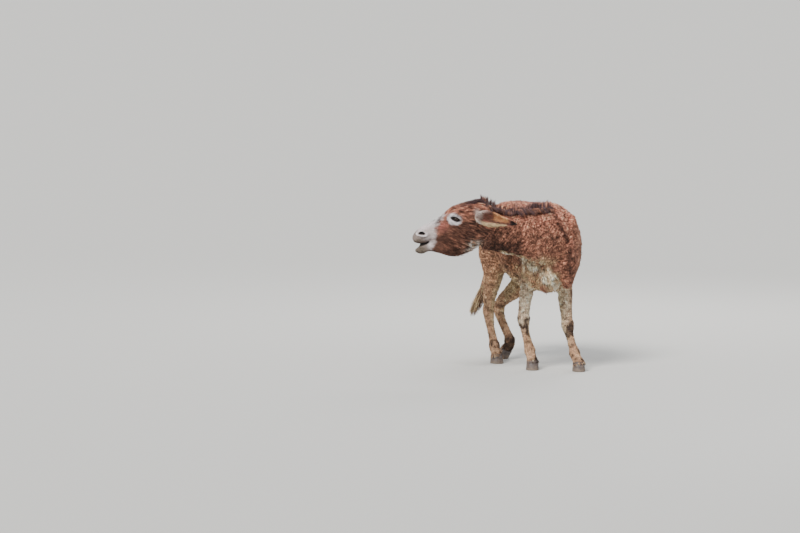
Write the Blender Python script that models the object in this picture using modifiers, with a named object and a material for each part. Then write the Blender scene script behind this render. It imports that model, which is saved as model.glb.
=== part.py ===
"""A still, life-size donkey, walking with its neck bent to its right and its head held low.

Metres, +Z up. The forequarters face -Y, the head points to -X. The body is modelled
whole, as lofts through its stations, remeshed into one skin, and then parted by thin
cuts into the pieces that a person would name.
"""
import math

import bpy
import bmesh
import numpy as np
from mathutils import Matrix, Vector

for old in list(bpy.data.objects):
    bpy.data.objects.remove(old, do_unlink=True)

NAME = "donkey"

# driving dimensions
GAP = 0.0004                # air left between neighbouring pieces
VOXEL = 0.0125              # grain of the remeshed body
BODY_TRIANGLES = 3200        # of the whole body before it is parted
FLAT_ANGLE = math.radians(0.8)     # faces this near to one plane are melted into one
EYE_RADIUS = 0.0205
HOOF_HEIGHT = 0.060
MIDDLE = Vector((-0.2228, 0.2684, 0.0))     # middle of the footprint box, moved to the origin

# The trunk stands on a curve in plan, which bends to the donkey's right at the croup and
# straightens at the withers. Each station: x, y, top, underline, half width.
TRUNK = [
    (-0.232, 0.870, 0.990, 0.820, 0.060),
    (-0.213, 0.838, 1.045, 0.760, 0.120),
    (-0.185, 0.780, 1.090, 0.710, 0.178),
    (-0.145, 0.700, 1.122, 0.675, 0.212),
    (-0.095, 0.605, 1.136, 0.640, 0.222),
    (-0.030, 0.495, 1.138, 0.592, 0.240),
    (0.045, 0.365, 1.146, 0.548, 0.283),
    (0.092, 0.230, 1.152, 0.532, 0.283),
    (0.122, 0.100, 1.160, 0.532, 0.240),
    (0.138, -0.010, 1.125, 0.556, 0.200),
    (0.142, -0.110, 1.030, 0.630, 0.158),
    (0.145, -0.172, 0.920, 0.700, 0.105),
]
# Swellings of the trunk: centre and radii, x, y, z.
BODY_FORMS = [
    (0.120, -0.098, 0.642, 0.082, 0.098, 0.102),    # brisket between the forelegs
    (0.252, -0.072, 0.760, 0.066, 0.105, 0.190),    # left upper arm and point of shoulder
    (0.008, -0.066, 0.760, 0.068, 0.105, 0.185),    # right upper arm
    (0.285, 0.045, 0.930, 0.052, 0.115, 0.160),     # left shoulder blade
]
# The neck leaves the withers forwards and swings to the right.
NECK = [
    (0.145, 0.080, 1.120, 0.640, 0.165),
    (0.125, -0.050, 1.118, 0.690, 0.155),
    (0.055, -0.150, 1.108, 0.745, 0.132),
    (-0.060, -0.222, 1.105, 0.797, 0.112),
    (-0.190, -0.258, 1.112, 0.828, 0.100),
    (-0.290, -0.276, 1.140, 0.852, 0.096),
    (-0.350, -0.284, 1.160, 0.866, 0.092),
]
# Head frame: the poll, the way to the muzzle, and up out of the forehead.
POLL = Vector((-0.362, -0.288, 1.187))
HEAD_TILT = math.radians(24.0)
TO_MUZZLE = Vector((-math.cos(HEAD_TILT), 0.0, -math.sin(HEAD_TILT)))
TO_BROW = Vector((-math.sin(HEAD_TILT), 0.0, math.cos(HEAD_TILT)))
TO_LEFT = Vector((0.0, -1.0, 0.0))
# Stations of the upper head: distance from the poll, top, underside, half width.
UPPER_HEAD = [
    (-0.050, -0.040, -0.285, 0.078),
    (-0.015, -0.004, -0.288, 0.092),
    (0.060, 0.026, -0.276, 0.102),
    (0.120, 0.040, -0.268, 0.107),
    (0.175, 0.053, -0.262, 0.108),
    (0.235, 0.039, -0.250, 0.094),
    (0.305, 0.021, -0.215, 0.074),
    (0.370, 0.015, -0.165, 0.060),
    (0.425, 0.010, -0.112, 0.053),
    (0.470, -0.001, -0.098, 0.052),
    (0.503, -0.017, -0.084, 0.045),
    (0.522, -0.036, -0.070, 0.028),
]
# Stations of the lower jaw, the same way.
LOWER_JAW = [
    (0.090, -0.120, -0.262, 0.066),
    (0.180, -0.130, -0.279, 0.078),
    (0.265, -0.130, -0.281, 0.074),
    (0.340, -0.120, -0.255, 0.060),
    (0.400, -0.113, -0.205, 0.047),
    (0.450, -0.117, -0.170, 0.040),
    (0.505, -0.112, -0.166, 0.036),
    (0.538, -0.114, -0.140, 0.022),
]
# Swellings of the head on its left, mirrored to the right: distance, up, left, radii.
HEAD_FORMS = [
    (0.185, 0.002, 0.076, 0.050, 0.026, 0.030),     # brow over the eye
    (0.215, -0.085, 0.070, 0.075, 0.022, 0.024),    # facial crest under the eye
    (0.120, -0.165, 0.066, 0.085, 0.085, 0.034),    # cheek muscle
    (0.440, -0.038, 0.036, 0.042, 0.036, 0.026),    # nostril
    (0.492, -0.058, 0.014, 0.028, 0.028, 0.030),    # upper lip
    (0.496, -0.142, 0.010, 0.030, 0.024, 0.026),    # lower lip and chin
]

# Legs: the joints from the top down, and the way each leg faces in plan.
FORE_JOINTS = {
    "right": [(0.020, -0.080, 0.760), (-0.008, 0.085, 0.620), (-0.046, 0.030, 0.360),
              (-0.004, 0.014, 0.140), (0.014, -0.022, 0.060)],
    "left": [(0.250, -0.095, 0.760), (0.240, 0.058, 0.612), (0.258, 0.000, 0.320),
             (0.304, -0.066, 0.128), (0.332, -0.112, 0.060)],
}
HIND_JOINTS = {
    "right": [(-0.222, 0.610, 0.900), (-0.238, 0.500, 0.660), (-0.278, 0.580, 0.365),
              (-0.240, 0.452, 0.125), (-0.226, 0.405, 0.060)],
    "left": [(-0.035, 0.735, 0.890), (-0.034, 0.652, 0.568), (-0.197, 0.790, 0.364),
             (-0.126, 0.664, 0.140), (-0.149, 0.690, 0.070)],
}
FORE_FACING = {"right": (0.10, -1.0), "left": (0.22, -1.0)}
HIND_FACING = {"right": (0.45, -1.0), "left": (0.50, -0.866)}
# Girths down a foreleg: place (0 shoulder, 1 elbow, 2 knee, 3 fetlock, 4 coronet),
# half width, depth ahead, depth behind.
FORE_GIRTHS = [
    (0.00, 0.072, 0.080, 0.100),
    (0.60, 0.070, 0.095, 0.100),
    (1.00, 0.058, 0.082, 0.086),
    (1.25, 0.053, 0.062, 0.066),
    (1.60, 0.046, 0.047, 0.051),
    (1.85, 0.042, 0.041, 0.044),
    (2.00, 0.049, 0.047, 0.043),
    (2.15, 0.043, 0.041, 0.040),
    (2.35, 0.032, 0.032, 0.037),
    (2.65, 0.031, 0.031, 0.037),
    (2.88, 0.036, 0.036, 0.044),
    (3.00, 0.041, 0.040, 0.050),
    (3.40, 0.036, 0.035, 0.040),
    (4.00, 0.041, 0.041, 0.040),
    (5.00, 0.044, 0.058, 0.042),
]
# Girths down a hind leg: 0 hip, 1 stifle, 2 hock, 3 fetlock, 4 coronet.
HIND_GIRTHS = [
    (0.00, 0.100, 0.140, 0.170),
    (0.50, 0.102, 0.130, 0.165),
    (1.00, 0.078, 0.090, 0.125),
    (1.30, 0.062, 0.066, 0.090),
    (1.65, 0.047, 0.048, 0.060),
    (1.88, 0.040, 0.041, 0.055),
    (2.00, 0.043, 0.043, 0.058),
    (2.15, 0.040, 0.038, 0.047),
    (2.40, 0.031, 0.032, 0.036),
    (2.75, 0.030, 0.032, 0.037),
    (2.92, 0.036, 0.036, 0.044),
    (3.00, 0.040, 0.040, 0.049),
    (3.40, 0.036, 0.035, 0.039),
    (4.00, 0.041, 0.041, 0.040),
    (5.00, 0.044, 0.058, 0.042),
]
# The tail from its root to the end of the switch: x, y, z, radius.
TAIL = [
    (-0.208, 0.842, 1.055, 0.038),
    (-0.238, 0.902, 1.005, 0.036),
    (-0.258, 0.934, 0.900, 0.032),
    (-0.268, 0.932, 0.760, 0.028),
    (-0.276, 0.912, 0.620, 0.026),
    (-0.302, 0.888, 0.500, 0.031),
    (-0.346, 0.864, 0.405, 0.034),
    (-0.378, 0.852, 0.330, 0.026),
    (-0.390, 0.848, 0.280, 0.009),
]

# Hoof: half width, toe reach and heel reach at the coronet and at the sole.
HOOF_TOP = (0.039, 0.040, 0.038)
HOOF_SOLE = (0.043, 0.060, 0.040)
HOOF_SLOPE = 0.22           # how far the coronet leans down to the heel
TRAILING_HOOF = "left_hind_hoof"
TOE_UP = Vector((0.50, -0.42, 0.76)).normalized()    # the way from its sole up its own axis
FLAT_FOOT = Vector((0.0, 0.0, 1.0))
# Ear: share of the length, half width, depth of the cup, wall.
EAR_SECTIONS = [
    (0.00, 0.038, 0.032, 0.038),
    (0.15, 0.061, 0.043, 0.025),
    (0.36, 0.060, 0.042, 0.013),
    (0.62, 0.039, 0.029, 0.011),
    (0.84, 0.021, 0.015, 0.010),
    (1.00, 0.006, 0.003, 0.006),
]
# Base, tip and the way the cup opens.
EARS = {
    "left": ((-0.372, -0.390, 1.096), (-0.104, -0.423, 1.046), (0.05, -0.90, -0.42)),
    "right": ((-0.372, -0.196, 1.096), (-0.122, -0.060, 1.062), (0.05, 0.78, -0.45)),
}
EYE_PLACE = (0.192, -0.036, 0.085)
# The upright mane, as trunk stations, and the forelock, as head stations.
MANE = [
    (0.120, 0.040, 1.150, 1.080, 0.012),
    (0.095, -0.080, 1.152, 1.070, 0.020),
    (0.020, -0.175, 1.156, 1.065, 0.023),
    (-0.090, -0.232, 1.155, 1.065, 0.024),
    (-0.200, -0.260, 1.156, 1.070, 0.024),
    (-0.280, -0.274, 1.180, 1.095, 0.023),
    (-0.330, -0.280, 1.206, 1.110, 0.020),
    (-0.352, -0.284, 1.208, 1.130, 0.014),
]
FORELOCK = [
    (-0.030, 0.022, -0.030, 0.022),
    (0.010, 0.034, -0.020, 0.030),
    (0.060, 0.042, -0.010, 0.034),
    (0.120, 0.052, 0.010, 0.034),
    (0.175, 0.062, 0.025, 0.028),
    (0.210, 0.056, 0.030, 0.012),
]
TAIL_SPLIT = 0.560
# Cuts down the legs: name, place, reach, half sides of the block.
FORE_LENGTHS = [
    ("fore_pastern", 2.86, 0.18, (0.08, 0.10)),
    ("fore_cannon", 2.24, 0.20, (0.08, 0.09)),
    ("knee", 1.78, 0.16, (0.08, 0.09)),
    ("forearm", 1.20, 0.24, (0.085, 0.12)),
]
HIND_LENGTHS = [
    ("hind_pastern", 2.88, 0.17, (0.08, 0.09)),
    ("hind_cannon", 2.26, 0.22, (0.08, 0.09)),
    ("hock", 1.76, 0.20, (0.085, 0.11)),
    ("gaskin", 1.22, 0.24, (0.095, 0.13)),
]
JAW_CUT = (0.300, -0.150)
JAW_NORMAL = TO_BROW * 0.97 + TO_MUZZLE * -0.25
HEAD_CUT = (0.012, -0.140)
NECK_CUT = (0.055, -0.135, 1.020)
NECK_NORMAL = (0.76, 0.65, 0.0)
SHOULDERS = {
    "left": ((0.300, -0.020, 0.985), (0.092, 0.165)),
    "right": ((-0.045, -0.020, 0.985), (0.092, 0.165)),
}
THIGHS = {
    "left": ((0.000, 0.690, 0.820), (0.110, 0.170)),
    "right": ((-0.265, 0.580, 0.820), (0.110, 0.170)),
}
CROUP_CUT = (-0.060, 0.560, 0.900)
CHEST_CUT = (0.110, 0.150, 0.800)

parts = bpy.data.collections.new(NAME)
bpy.context.scene.collection.children.link(parts)
cutters = bpy.data.collections.new("cutters")
bpy.context.scene.collection.children.link(cutters)


def material(name, colour, roughness):
    mat = bpy.data.materials.new(name)
    mat.use_nodes = True
    shader = mat.node_tree.nodes["Principled BSDF"]
    shader.inputs["Base Color"].default_value = (*colour, 1.0)
    shader.inputs["Roughness"].default_value = roughness
    return mat


COAT = material("brown_coat", (0.19, 0.105, 0.075), 0.85)
PALE = material("pale_coat", (0.55, 0.48, 0.42), 0.85)
LEG = material("leg_coat", (0.30, 0.20, 0.16), 0.85)
DARK = material("dark_hair", (0.035, 0.022, 0.022), 0.7)
HORN = material("hoof_horn", (0.07, 0.055, 0.05), 0.6)
EYE = material("eye_wet", (0.012, 0.008, 0.006), 0.08)


def finer(rows, steps):
    """Rows of a table carried through a Catmull-Rom curve, with `steps` rows to each span."""
    rows = np.asarray(rows, dtype=float)
    padded = np.vstack([2 * rows[0] - rows[1], rows, 2 * rows[-1] - rows[-2]])
    t = (np.arange(steps) / steps)[:, None]
    spans = []
    for i in range(len(rows) - 1):
        a, b, c, d = padded[i:i + 4]
        spans.append(0.5 * (2 * b + (c - a) * t + (2 * a - 5 * b + 4 * c - d) * t ** 2
                            + (3 * b - a - 3 * c + d) * t ** 3))
    return np.vstack(spans + [rows[-1:]])


def skin_rings(name, rings, keep_in=cutters):
    """A closed mesh through rings of equally many points, with a point at each end."""
    count, sides, _ = rings.shape
    points = np.vstack([rings.reshape(-1, 3), rings[0].mean(0), rings[-1].mean(0)])
    ahead = np.roll(np.arange(sides), -1)
    faces = []
    for i in range(count - 1):
        low, high = i * sides, (i + 1) * sides
        faces += [(low + k, low + ahead[k], high + ahead[k], high + k) for k in range(sides)]
    first, last = count * sides, count * sides + 1
    faces += [(first, int(ahead[k]), k) for k in range(sides)]
    end = (count - 1) * sides
    faces += [(last, end + k, int(end + ahead[k])) for k in range(sides)]
    mesh = bpy.data.meshes.new(name)
    mesh.from_pydata(points.tolist(), [], [tuple(int(v) for v in f) for f in faces])
    made = bpy.data.objects.new(name, mesh)
    keep_in.objects.link(made)
    face_outwards(made)
    return made


def face_outwards(target):
    shape = bmesh.new()
    shape.from_mesh(target.data)
    bmesh.ops.recalc_face_normals(shape, faces=shape.faces)
    shape.to_mesh(target.data)
    shape.free()


def oval(sides, power, lower_power=None):
    """Unit superellipse: |across|^power + |up|^power = 1, with another power below if given."""
    angle = np.linspace(0.0, 2 * math.pi, sides, endpoint=False)
    powers = np.where(np.sin(angle) < 0, lower_power or power, power)
    across = np.sign(np.cos(angle)) * np.abs(np.cos(angle)) ** (2 / powers)
    up = np.sign(np.sin(angle)) * np.abs(np.sin(angle)) ** (2 / powers)
    return across, up


def upright_loft(name, rows, sides=28, steps=4, power=2.0, lower_power=2.35):
    """Upright ovals across a curve in plan: x, y, top, underline, half width."""
    rows = finer(rows, steps)
    along = np.gradient(rows[:, :2], axis=0)
    along /= np.linalg.norm(along, axis=1)[:, None]
    side = np.column_stack([-along[:, 1], along[:, 0], np.zeros(len(rows))])
    across, up = oval(sides, power, lower_power)
    centre = np.column_stack([rows[:, :2], (rows[:, 2] + rows[:, 3]) / 2])
    half = (rows[:, 2] - rows[:, 3]) / 2
    rings = (centre[:, None, :] + side[:, None, :] * (rows[:, 4][:, None] * across)[..., None]
             + np.array([0.0, 0.0, 1.0]) * (half[:, None] * up)[..., None])
    return skin_rings(name, rings)


def in_head(along, up, left):
    return POLL + TO_MUZZLE * along + TO_BROW * up + TO_LEFT * left


def head_loft(name, rows, sides=28, steps=4, power=2.3):
    """Ovals across the head's own axis: distance from the poll, top, underside, half width."""
    rows = finer(rows, steps)
    across, up = oval(sides, power)
    centre = (rows[:, 1] + rows[:, 2]) / 2
    half = (rows[:, 1] - rows[:, 2]) / 2
    rings = (np.array(POLL) + np.array(TO_MUZZLE) * rows[:, 0][:, None, None]
             + np.array(TO_BROW) * (centre[:, None] + half[:, None] * up)[..., None]
             + np.array(TO_LEFT) * (rows[:, 3][:, None] * across)[..., None])
    return skin_rings(name, rings)


def leg_loft(name, joints, facing, girths, foot_up, sides=20, steps=10):
    """Ovals square to a path through the joints; depth ahead and behind differ."""
    joints = list(joints) + [tuple(Vector(joints[-1]) - Vector(foot_up) * HOOF_HEIGHT)]
    path = finer(joints, steps)
    place = np.linspace(0, len(joints) - 1, len(path))
    girths = finer(girths, 8)
    stations = np.unique(np.concatenate([girths[:, 0], place]))
    centre = np.column_stack([np.interp(stations, place, path[:, i]) for i in range(3)])
    sizes = np.column_stack([np.interp(stations, girths[:, 0], girths[:, i]) for i in (1, 2, 3)])
    down = np.gradient(centre, axis=0)
    for _ in range(3):
        down[1:-1] = (down[:-2] + down[1:-1] + down[2:]) / 3
    down /= np.linalg.norm(down, axis=1)[:, None]
    facing = np.array([*facing, 0.0]) / np.linalg.norm(facing)
    ahead = facing - down * (down @ facing)[:, None]
    ahead /= np.linalg.norm(ahead, axis=1)[:, None]
    side = np.cross(down, ahead)
    across, front = oval(sides, 2.15)
    depth = np.where(front[None, :] > 0, sizes[:, 1][:, None], sizes[:, 2][:, None])
    rings = (centre[:, None, :] + side[:, None, :] * (sizes[:, 0][:, None] * across)[..., None]
             + ahead[:, None, :] * (depth * front)[..., None])
    return skin_rings(name, rings)


def tube_loft(name, rows, sides=14, steps=4, flatten=1.0, keep_in=cutters):
    """Round sections along a path: x, y, z, radius."""
    rows = finer(rows, steps)
    along = np.gradient(rows[:, :3], axis=0)
    along /= np.linalg.norm(along, axis=1)[:, None]
    side = np.cross(along, np.array([0.0, 1.0, 0.0]))
    side /= np.linalg.norm(side, axis=1)[:, None]
    other = np.cross(along, side)
    across, up = oval(sides, 2.0)
    radius = rows[:, 3][:, None]
    rings = (rows[:, None, :3] + side[:, None, :] * (radius * across)[..., None]
             + other[:, None, :] * (radius * flatten * up)[..., None])
    return skin_rings(name, rings, keep_in)


def ball(name, centre, radii, turn=Matrix.Identity(3), segments=24, rings=14, keep_in=cutters):
    shape = bmesh.new()
    bmesh.ops.create_uvsphere(shape, u_segments=segments, v_segments=rings, radius=1.0)
    placed = Matrix.Translation(centre) @ turn.to_4x4() @ Matrix.Diagonal((*radii, 1.0))
    bmesh.ops.transform(shape, matrix=placed, verts=shape.verts)
    bmesh.ops.recalc_face_normals(shape, faces=shape.faces)
    mesh = bpy.data.meshes.new(name)
    shape.to_mesh(mesh)
    shape.free()
    made = bpy.data.objects.new(name, mesh)
    keep_in.objects.link(made)
    return made


def settle(target):
    """Applies what the modifiers do and clears them."""
    graph = bpy.context.evaluated_depsgraph_get()
    mesh = bpy.data.meshes.new_from_object(target.evaluated_get(graph))
    target.modifiers.clear()
    target.data = mesh
    return target


def copy_of(source, name):
    made = bpy.data.objects.new(name, source.data.copy())
    cutters.objects.link(made)
    return made


def joined(name, pieces):
    shape = bmesh.new()
    for piece in pieces:
        shape.from_mesh(piece.data)
        bpy.data.objects.remove(piece, do_unlink=True)
    mesh = bpy.data.meshes.new(name)
    shape.to_mesh(mesh)
    shape.free()
    made = bpy.data.objects.new(name, mesh)
    cutters.objects.link(made)
    return made


def boolean(target, tool, operation):
    cut = target.modifiers.new("cut", "BOOLEAN")
    cut.operation = operation
    cut.solver = "EXACT"
    cut.object = tool
    return settle(target)


def largest_piece(target):
    """Drops crumbs: only the biggest loose piece is kept."""
    shape = bmesh.new()
    shape.from_mesh(target.data)
    left = set(shape.verts)
    islands = []
    while left:
        seed = left.pop()
        island = {seed}
        border = [seed]
        while border:
            near = border.pop()
            for edge in near.link_edges:
                other = edge.other_vert(near)
                if other in left:
                    left.discard(other)
                    island.add(other)
                    border.append(other)
        islands.append(island)
    biggest = max(islands, key=len)
    drop = [v for v in shape.verts if v not in biggest]
    bmesh.ops.delete(shape, geom=drop, context="VERTS")
    shape.to_mesh(target.data)
    shape.free()
    return target


def tidy_mesh(target):
    """Melts the slivers that a cut leaves, and makes triangles."""
    shape = bmesh.new()
    shape.from_mesh(target.data)
    bmesh.ops.remove_doubles(shape, verts=shape.verts, dist=0.0006)
    bmesh.ops.dissolve_degenerate(shape, edges=shape.edges, dist=0.0004)
    bmesh.ops.dissolve_limit(shape, angle_limit=FLAT_ANGLE, verts=shape.verts, edges=shape.edges)
    bmesh.ops.triangulate(shape, faces=shape.faces)
    bmesh.ops.recalc_face_normals(shape, faces=shape.faces)
    shape.to_mesh(target.data)
    shape.free()
    return target


def block(name, point, normal, reach, forward, half_sides, lift=0.0):
    """A box whose top face passes through `point`, square to `normal`, and which runs `reach` below it."""
    up = Vector(normal).normalized()
    ahead = Vector(forward)
    ahead = (ahead - up * ahead.dot(up)).normalized()
    side = ahead.cross(up)
    shape = bmesh.new()
    bmesh.ops.create_cube(shape, size=2.0)
    frame = Matrix((side, ahead, up)).transposed().to_4x4()
    sizes = Matrix.Diagonal((half_sides[0], half_sides[1], reach / 2, 1.0))
    middle = Vector(point) + up * (lift - reach / 2)
    bmesh.ops.transform(shape, matrix=Matrix.Translation(middle) @ frame @ sizes, verts=shape.verts)
    mesh = bpy.data.meshes.new(name)
    shape.to_mesh(mesh)
    shape.free()
    made = bpy.data.objects.new(name, mesh)
    cutters.objects.link(made)
    return made


def carve(body, name, mat, point, normal, reach, forward, half_sides):
    """Takes the flesh inside a block away from the body as a piece of its own."""
    inside = block("inside", point, normal, reach, forward, half_sides)
    piece = copy_of(body, name)
    boolean(piece, inside, "INTERSECT")
    outside = block("outside", point, normal, reach + 2 * GAP, forward,
                    (half_sides[0] + GAP, half_sides[1] + GAP), lift=GAP)
    boolean(body, outside, "DIFFERENCE")
    bpy.data.objects.remove(inside, do_unlink=True)
    bpy.data.objects.remove(outside, do_unlink=True)
    return finish(piece, name, mat)


def finish(piece, name, mat):
    """Names a piece, gives it its material and puts it with the parts."""
    largest_piece(piece)
    tidy_mesh(piece)
    piece.name = name
    piece.data.name = name
    piece.data.materials.clear()
    piece.data.materials.append(mat)
    piece.data.shade_smooth()
    for home in list(piece.users_collection):
        home.objects.unlink(piece)
    parts.objects.link(piece)
    return piece


def grown(source, distance):
    """A copy pushed out along its normals, to cut a neighbour with a little air."""
    made = copy_of(source, source.name + "_grown")
    points = np.empty(len(made.data.vertices) * 3)
    made.data.vertices.foreach_get("co", points)
    normals = np.array([v.normal for v in made.data.vertices])
    made.data.vertices.foreach_set("co", (points.reshape(-1, 3) + normals * distance).ravel())
    made.data.update()
    return made


def head_forms():
    """The paired swellings of the head, turned with its axis."""
    turn = Matrix((TO_MUZZLE, TO_BROW, TO_LEFT)).transposed()
    pieces = []
    for along, up, left, long, high, wide in HEAD_FORMS:
        for side in (1, -1):
            pieces.append(ball("form", in_head(along, up, side * left), (long, high, wide), turn))
    return pieces


def whole_body():
    pieces = [
        upright_loft("trunk", TRUNK),
        upright_loft("neck", NECK),
        head_loft("upper_head", UPPER_HEAD),
        head_loft("lower_jaw", LOWER_JAW),
    ]
    pieces += head_forms()
    pieces += [ball("form", form[:3], form[3:]) for form in BODY_FORMS]
    for side in ("right", "left"):
        pieces.append(leg_loft("fore", FORE_JOINTS[side], FORE_FACING[side], FORE_GIRTHS, FLAT_FOOT))
        hind_up = TOE_UP if side + "_hind_hoof" == TRAILING_HOOF else FLAT_FOOT
        pieces.append(leg_loft("hind", HIND_JOINTS[side], HIND_FACING[side], HIND_GIRTHS, hind_up))
    body = joined("body", pieces)
    remesh = body.modifiers.new("skin", "REMESH")
    remesh.mode = "VOXEL"
    remesh.voxel_size = VOXEL
    smooth = body.modifiers.new("ease", "SMOOTH")
    smooth.factor = 0.5
    smooth.iterations = 3
    settle(body)
    faces = sum(len(p.vertices) - 2 for p in body.data.polygons)
    fewer = body.modifiers.new("fewer", "DECIMATE")
    fewer.ratio = BODY_TRIANGLES / faces
    return tidy_mesh(settle(body))


def leg_frame(joints, place):
    """The point at a place down a leg, and the way up along the leg there."""
    path = finer(joints, 10)
    spots = np.linspace(0, len(joints) - 1, len(path))
    point, above, below = ([float(np.interp(place + d, spots, path[:, i])) for i in range(3)]
                           for d in (0.0, -0.12, 0.12))
    return Vector(point), (Vector(above) - Vector(below)).normalized()


def hoof(name, coronet, up, facing):
    """A cut cone from the coronet to the sole, whose top leans down to the heel."""
    ahead = Vector((*facing, 0.0))
    ahead = (ahead - up * ahead.dot(up)).normalized()
    side = ahead.cross(up)
    across, front = oval(24, 2.2)
    rings = []
    for share in (0.0, 0.25, 0.62, 1.0):
        width = HOOF_TOP[0] + (HOOF_SOLE[0] - HOOF_TOP[0]) * share
        fore = HOOF_TOP[1] + (HOOF_SOLE[1] - HOOF_TOP[1]) * share
        heel = HOOF_TOP[2] + (HOOF_SOLE[2] - HOOF_TOP[2]) * share
        reach = np.where(front > 0, fore, heel) * front
        rise = reach * HOOF_SLOPE * (1 - share) - HOOF_HEIGHT * share
        rings.append(np.array(coronet) + np.outer(across * width, side) + np.outer(reach, ahead)
                     + np.outer(rise, up))
    return skin_rings(name, np.array(rings))


def ear(name, base, tip, opening):
    """A leaf rolled into a cup: crescent sections from the base to the tip."""
    along = (tip - base).normalized()
    out = (opening - along * opening.dot(along)).normalized()
    side = along.cross(out)
    rows = finer(EAR_SECTIONS, 2)
    round_back = np.linspace(-1.0, 1.0, 9)
    rings = []
    for share, half, cup, wall in rows:
        back = -cup * (1 - round_back ** 2)
        hollow = back[::-1] + wall * np.sqrt(np.clip(1.04 - round_back[::-1] ** 2, 0, 1))
        edge = np.concatenate([round_back, round_back[::-1] * 0.93]) * half
        depth = np.concatenate([back, hollow])
        middle = base.lerp(tip, share)
        rings.append(np.array(middle) + np.outer(edge, side) + np.outer(depth, out))
    return skin_rings(name, np.array(rings))


def seat(piece, name, mat, also=None):
    """Fits a piece to the body's surface, with air between, and the body to the piece."""
    tidy_mesh(piece)
    for neighbour in [body] + ([also] if also else []):
        air = grown(neighbour, 2 * GAP)
        boolean(piece, air, "DIFFERENCE")
        bpy.data.objects.remove(air, do_unlink=True)
    finish(piece, name, mat)
    air = grown(piece, GAP)
    boolean(body, air, "DIFFERENCE")
    bpy.data.objects.remove(air, do_unlink=True)
    return piece


body = whole_body()

# pieces that grow on the body
turn = Matrix((TO_MUZZLE, TO_BROW, TO_LEFT)).transposed()
for side, sign in (("left", 1), ("right", -1)):
    eye_place = in_head(EYE_PLACE[0], EYE_PLACE[1], sign * EYE_PLACE[2])
    eyeball = ball(side + "_eye", eye_place, (EYE_RADIUS,) * 3, turn, 12, 8)
    socket = ball("socket", eye_place, (EYE_RADIUS + GAP,) * 3, turn, 12, 8)
    boolean(body, socket, "DIFFERENCE")
    bpy.data.objects.remove(socket, do_unlink=True)
    finish(eyeball, side + "_eye", EYE)
    base, tip, opening = EARS[side]
    seat(ear(side + "_ear", Vector(base), Vector(tip), Vector(opening)), side + "_ear", DARK)
seat(upright_loft("mane", MANE, sides=8, steps=3, power=1.8, lower_power=1.8), "mane", DARK)
seat(head_loft("forelock", FORELOCK, sides=8, steps=2, power=2.0), "forelock", DARK,
     also=bpy.data.objects["mane"])
tail = seat(tube_loft("tail", TAIL, sides=10, steps=2), "tail_dock", COAT)
carve(tail, "tail_switch", DARK, (TAIL[5][0], TAIL[5][1], TAIL_SPLIT), (0.0, 0.0, 1.0), 0.5,
      (0.0, 1.0, 0.0), (0.2, 0.2))
tidy_mesh(tail)

# hooves, and the flesh that they cover
for kind, all_joints, facings in (("fore", FORE_JOINTS, FORE_FACING), ("hind", HIND_JOINTS, HIND_FACING)):
    for side in ("left", "right"):
        name = side + "_" + kind + "_hoof"
        coronet = Vector(all_joints[side][-1])
        ahead = Vector((*facings[side], 0.0))
        up = TOE_UP if name == TRAILING_HOOF else FLAT_FOOT
        horn = hoof(name, coronet, up, facings[side])
        if name == TRAILING_HOOF:
            floor = block("floor", (coronet.x, coronet.y, 0.0), (0, 0, 1), 0.2, (0, 1, 0), (0.3, 0.3))
            boolean(horn, floor, "DIFFERENCE")
            bpy.data.objects.remove(floor, do_unlink=True)
        finish(horn, name, HORN)
        ahead = (ahead - up * ahead.dot(up)).normalized()
        crown = (up - ahead * HOOF_SLOPE).normalized()
        below = block("below", coronet + crown * GAP, crown, 0.12, ahead, (0.07, 0.07))
        boolean(body, below, "DIFFERENCE")
        bpy.data.objects.remove(below, do_unlink=True)

# lengths of each leg, from the foot up
for kind, all_joints, facings, lengths in (("fore", FORE_JOINTS, FORE_FACING, FORE_LENGTHS),
                                           ("hind", HIND_JOINTS, HIND_FACING, HIND_LENGTHS)):
    for side in ("left", "right"):
        for label, place, reach, half_sides in lengths:
            point, up = leg_frame(all_joints[side], place)
            carve(body, side + "_" + label, LEG, point, up, reach, (*facings[side], 0.0), half_sides)

carve(body, "lower_jaw", COAT, in_head(*JAW_CUT[:2], 0.0), JAW_NORMAL, 0.20, TO_MUZZLE, (0.14, 0.245))
carve(body, "head", COAT, in_head(*HEAD_CUT, 0.0), -TO_MUZZLE, 0.62, (0, 0, 1), (0.2, 0.27))
carve(body, "neck", COAT, NECK_CUT, NECK_NORMAL, 0.60, (0, 0, 1), (0.26, 0.29))
for side in ("left", "right"):
    place, half_sides = SHOULDERS[side]
    carve(body, side + "_shoulder", COAT, place, (0, 0, 1), 0.60, (0, 1, 0), half_sides)
    place, half_sides = THIGHS[side]
    carve(body, side + "_thigh", COAT, place, (0, 0, 1), 0.40, (*HIND_FACING[side], 0.0), half_sides)
carve(body, "croup", COAT, CROUP_CUT, (0.35, -0.94, 0.0), 0.6, (0, 0, 1), (0.4, 0.4))
carve(body, "barrel", COAT, CHEST_CUT, (0.0, -1.0, 0.0), 0.6, (0, 0, 1), (0.6, 0.5))
finish(body, "chest", PALE)

for cutter in list(cutters.objects):
    bpy.data.objects.remove(cutter, do_unlink=True)
for piece in parts.objects:
    piece.data.transform(Matrix.Translation(-MIDDLE))
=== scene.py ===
import math

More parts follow.
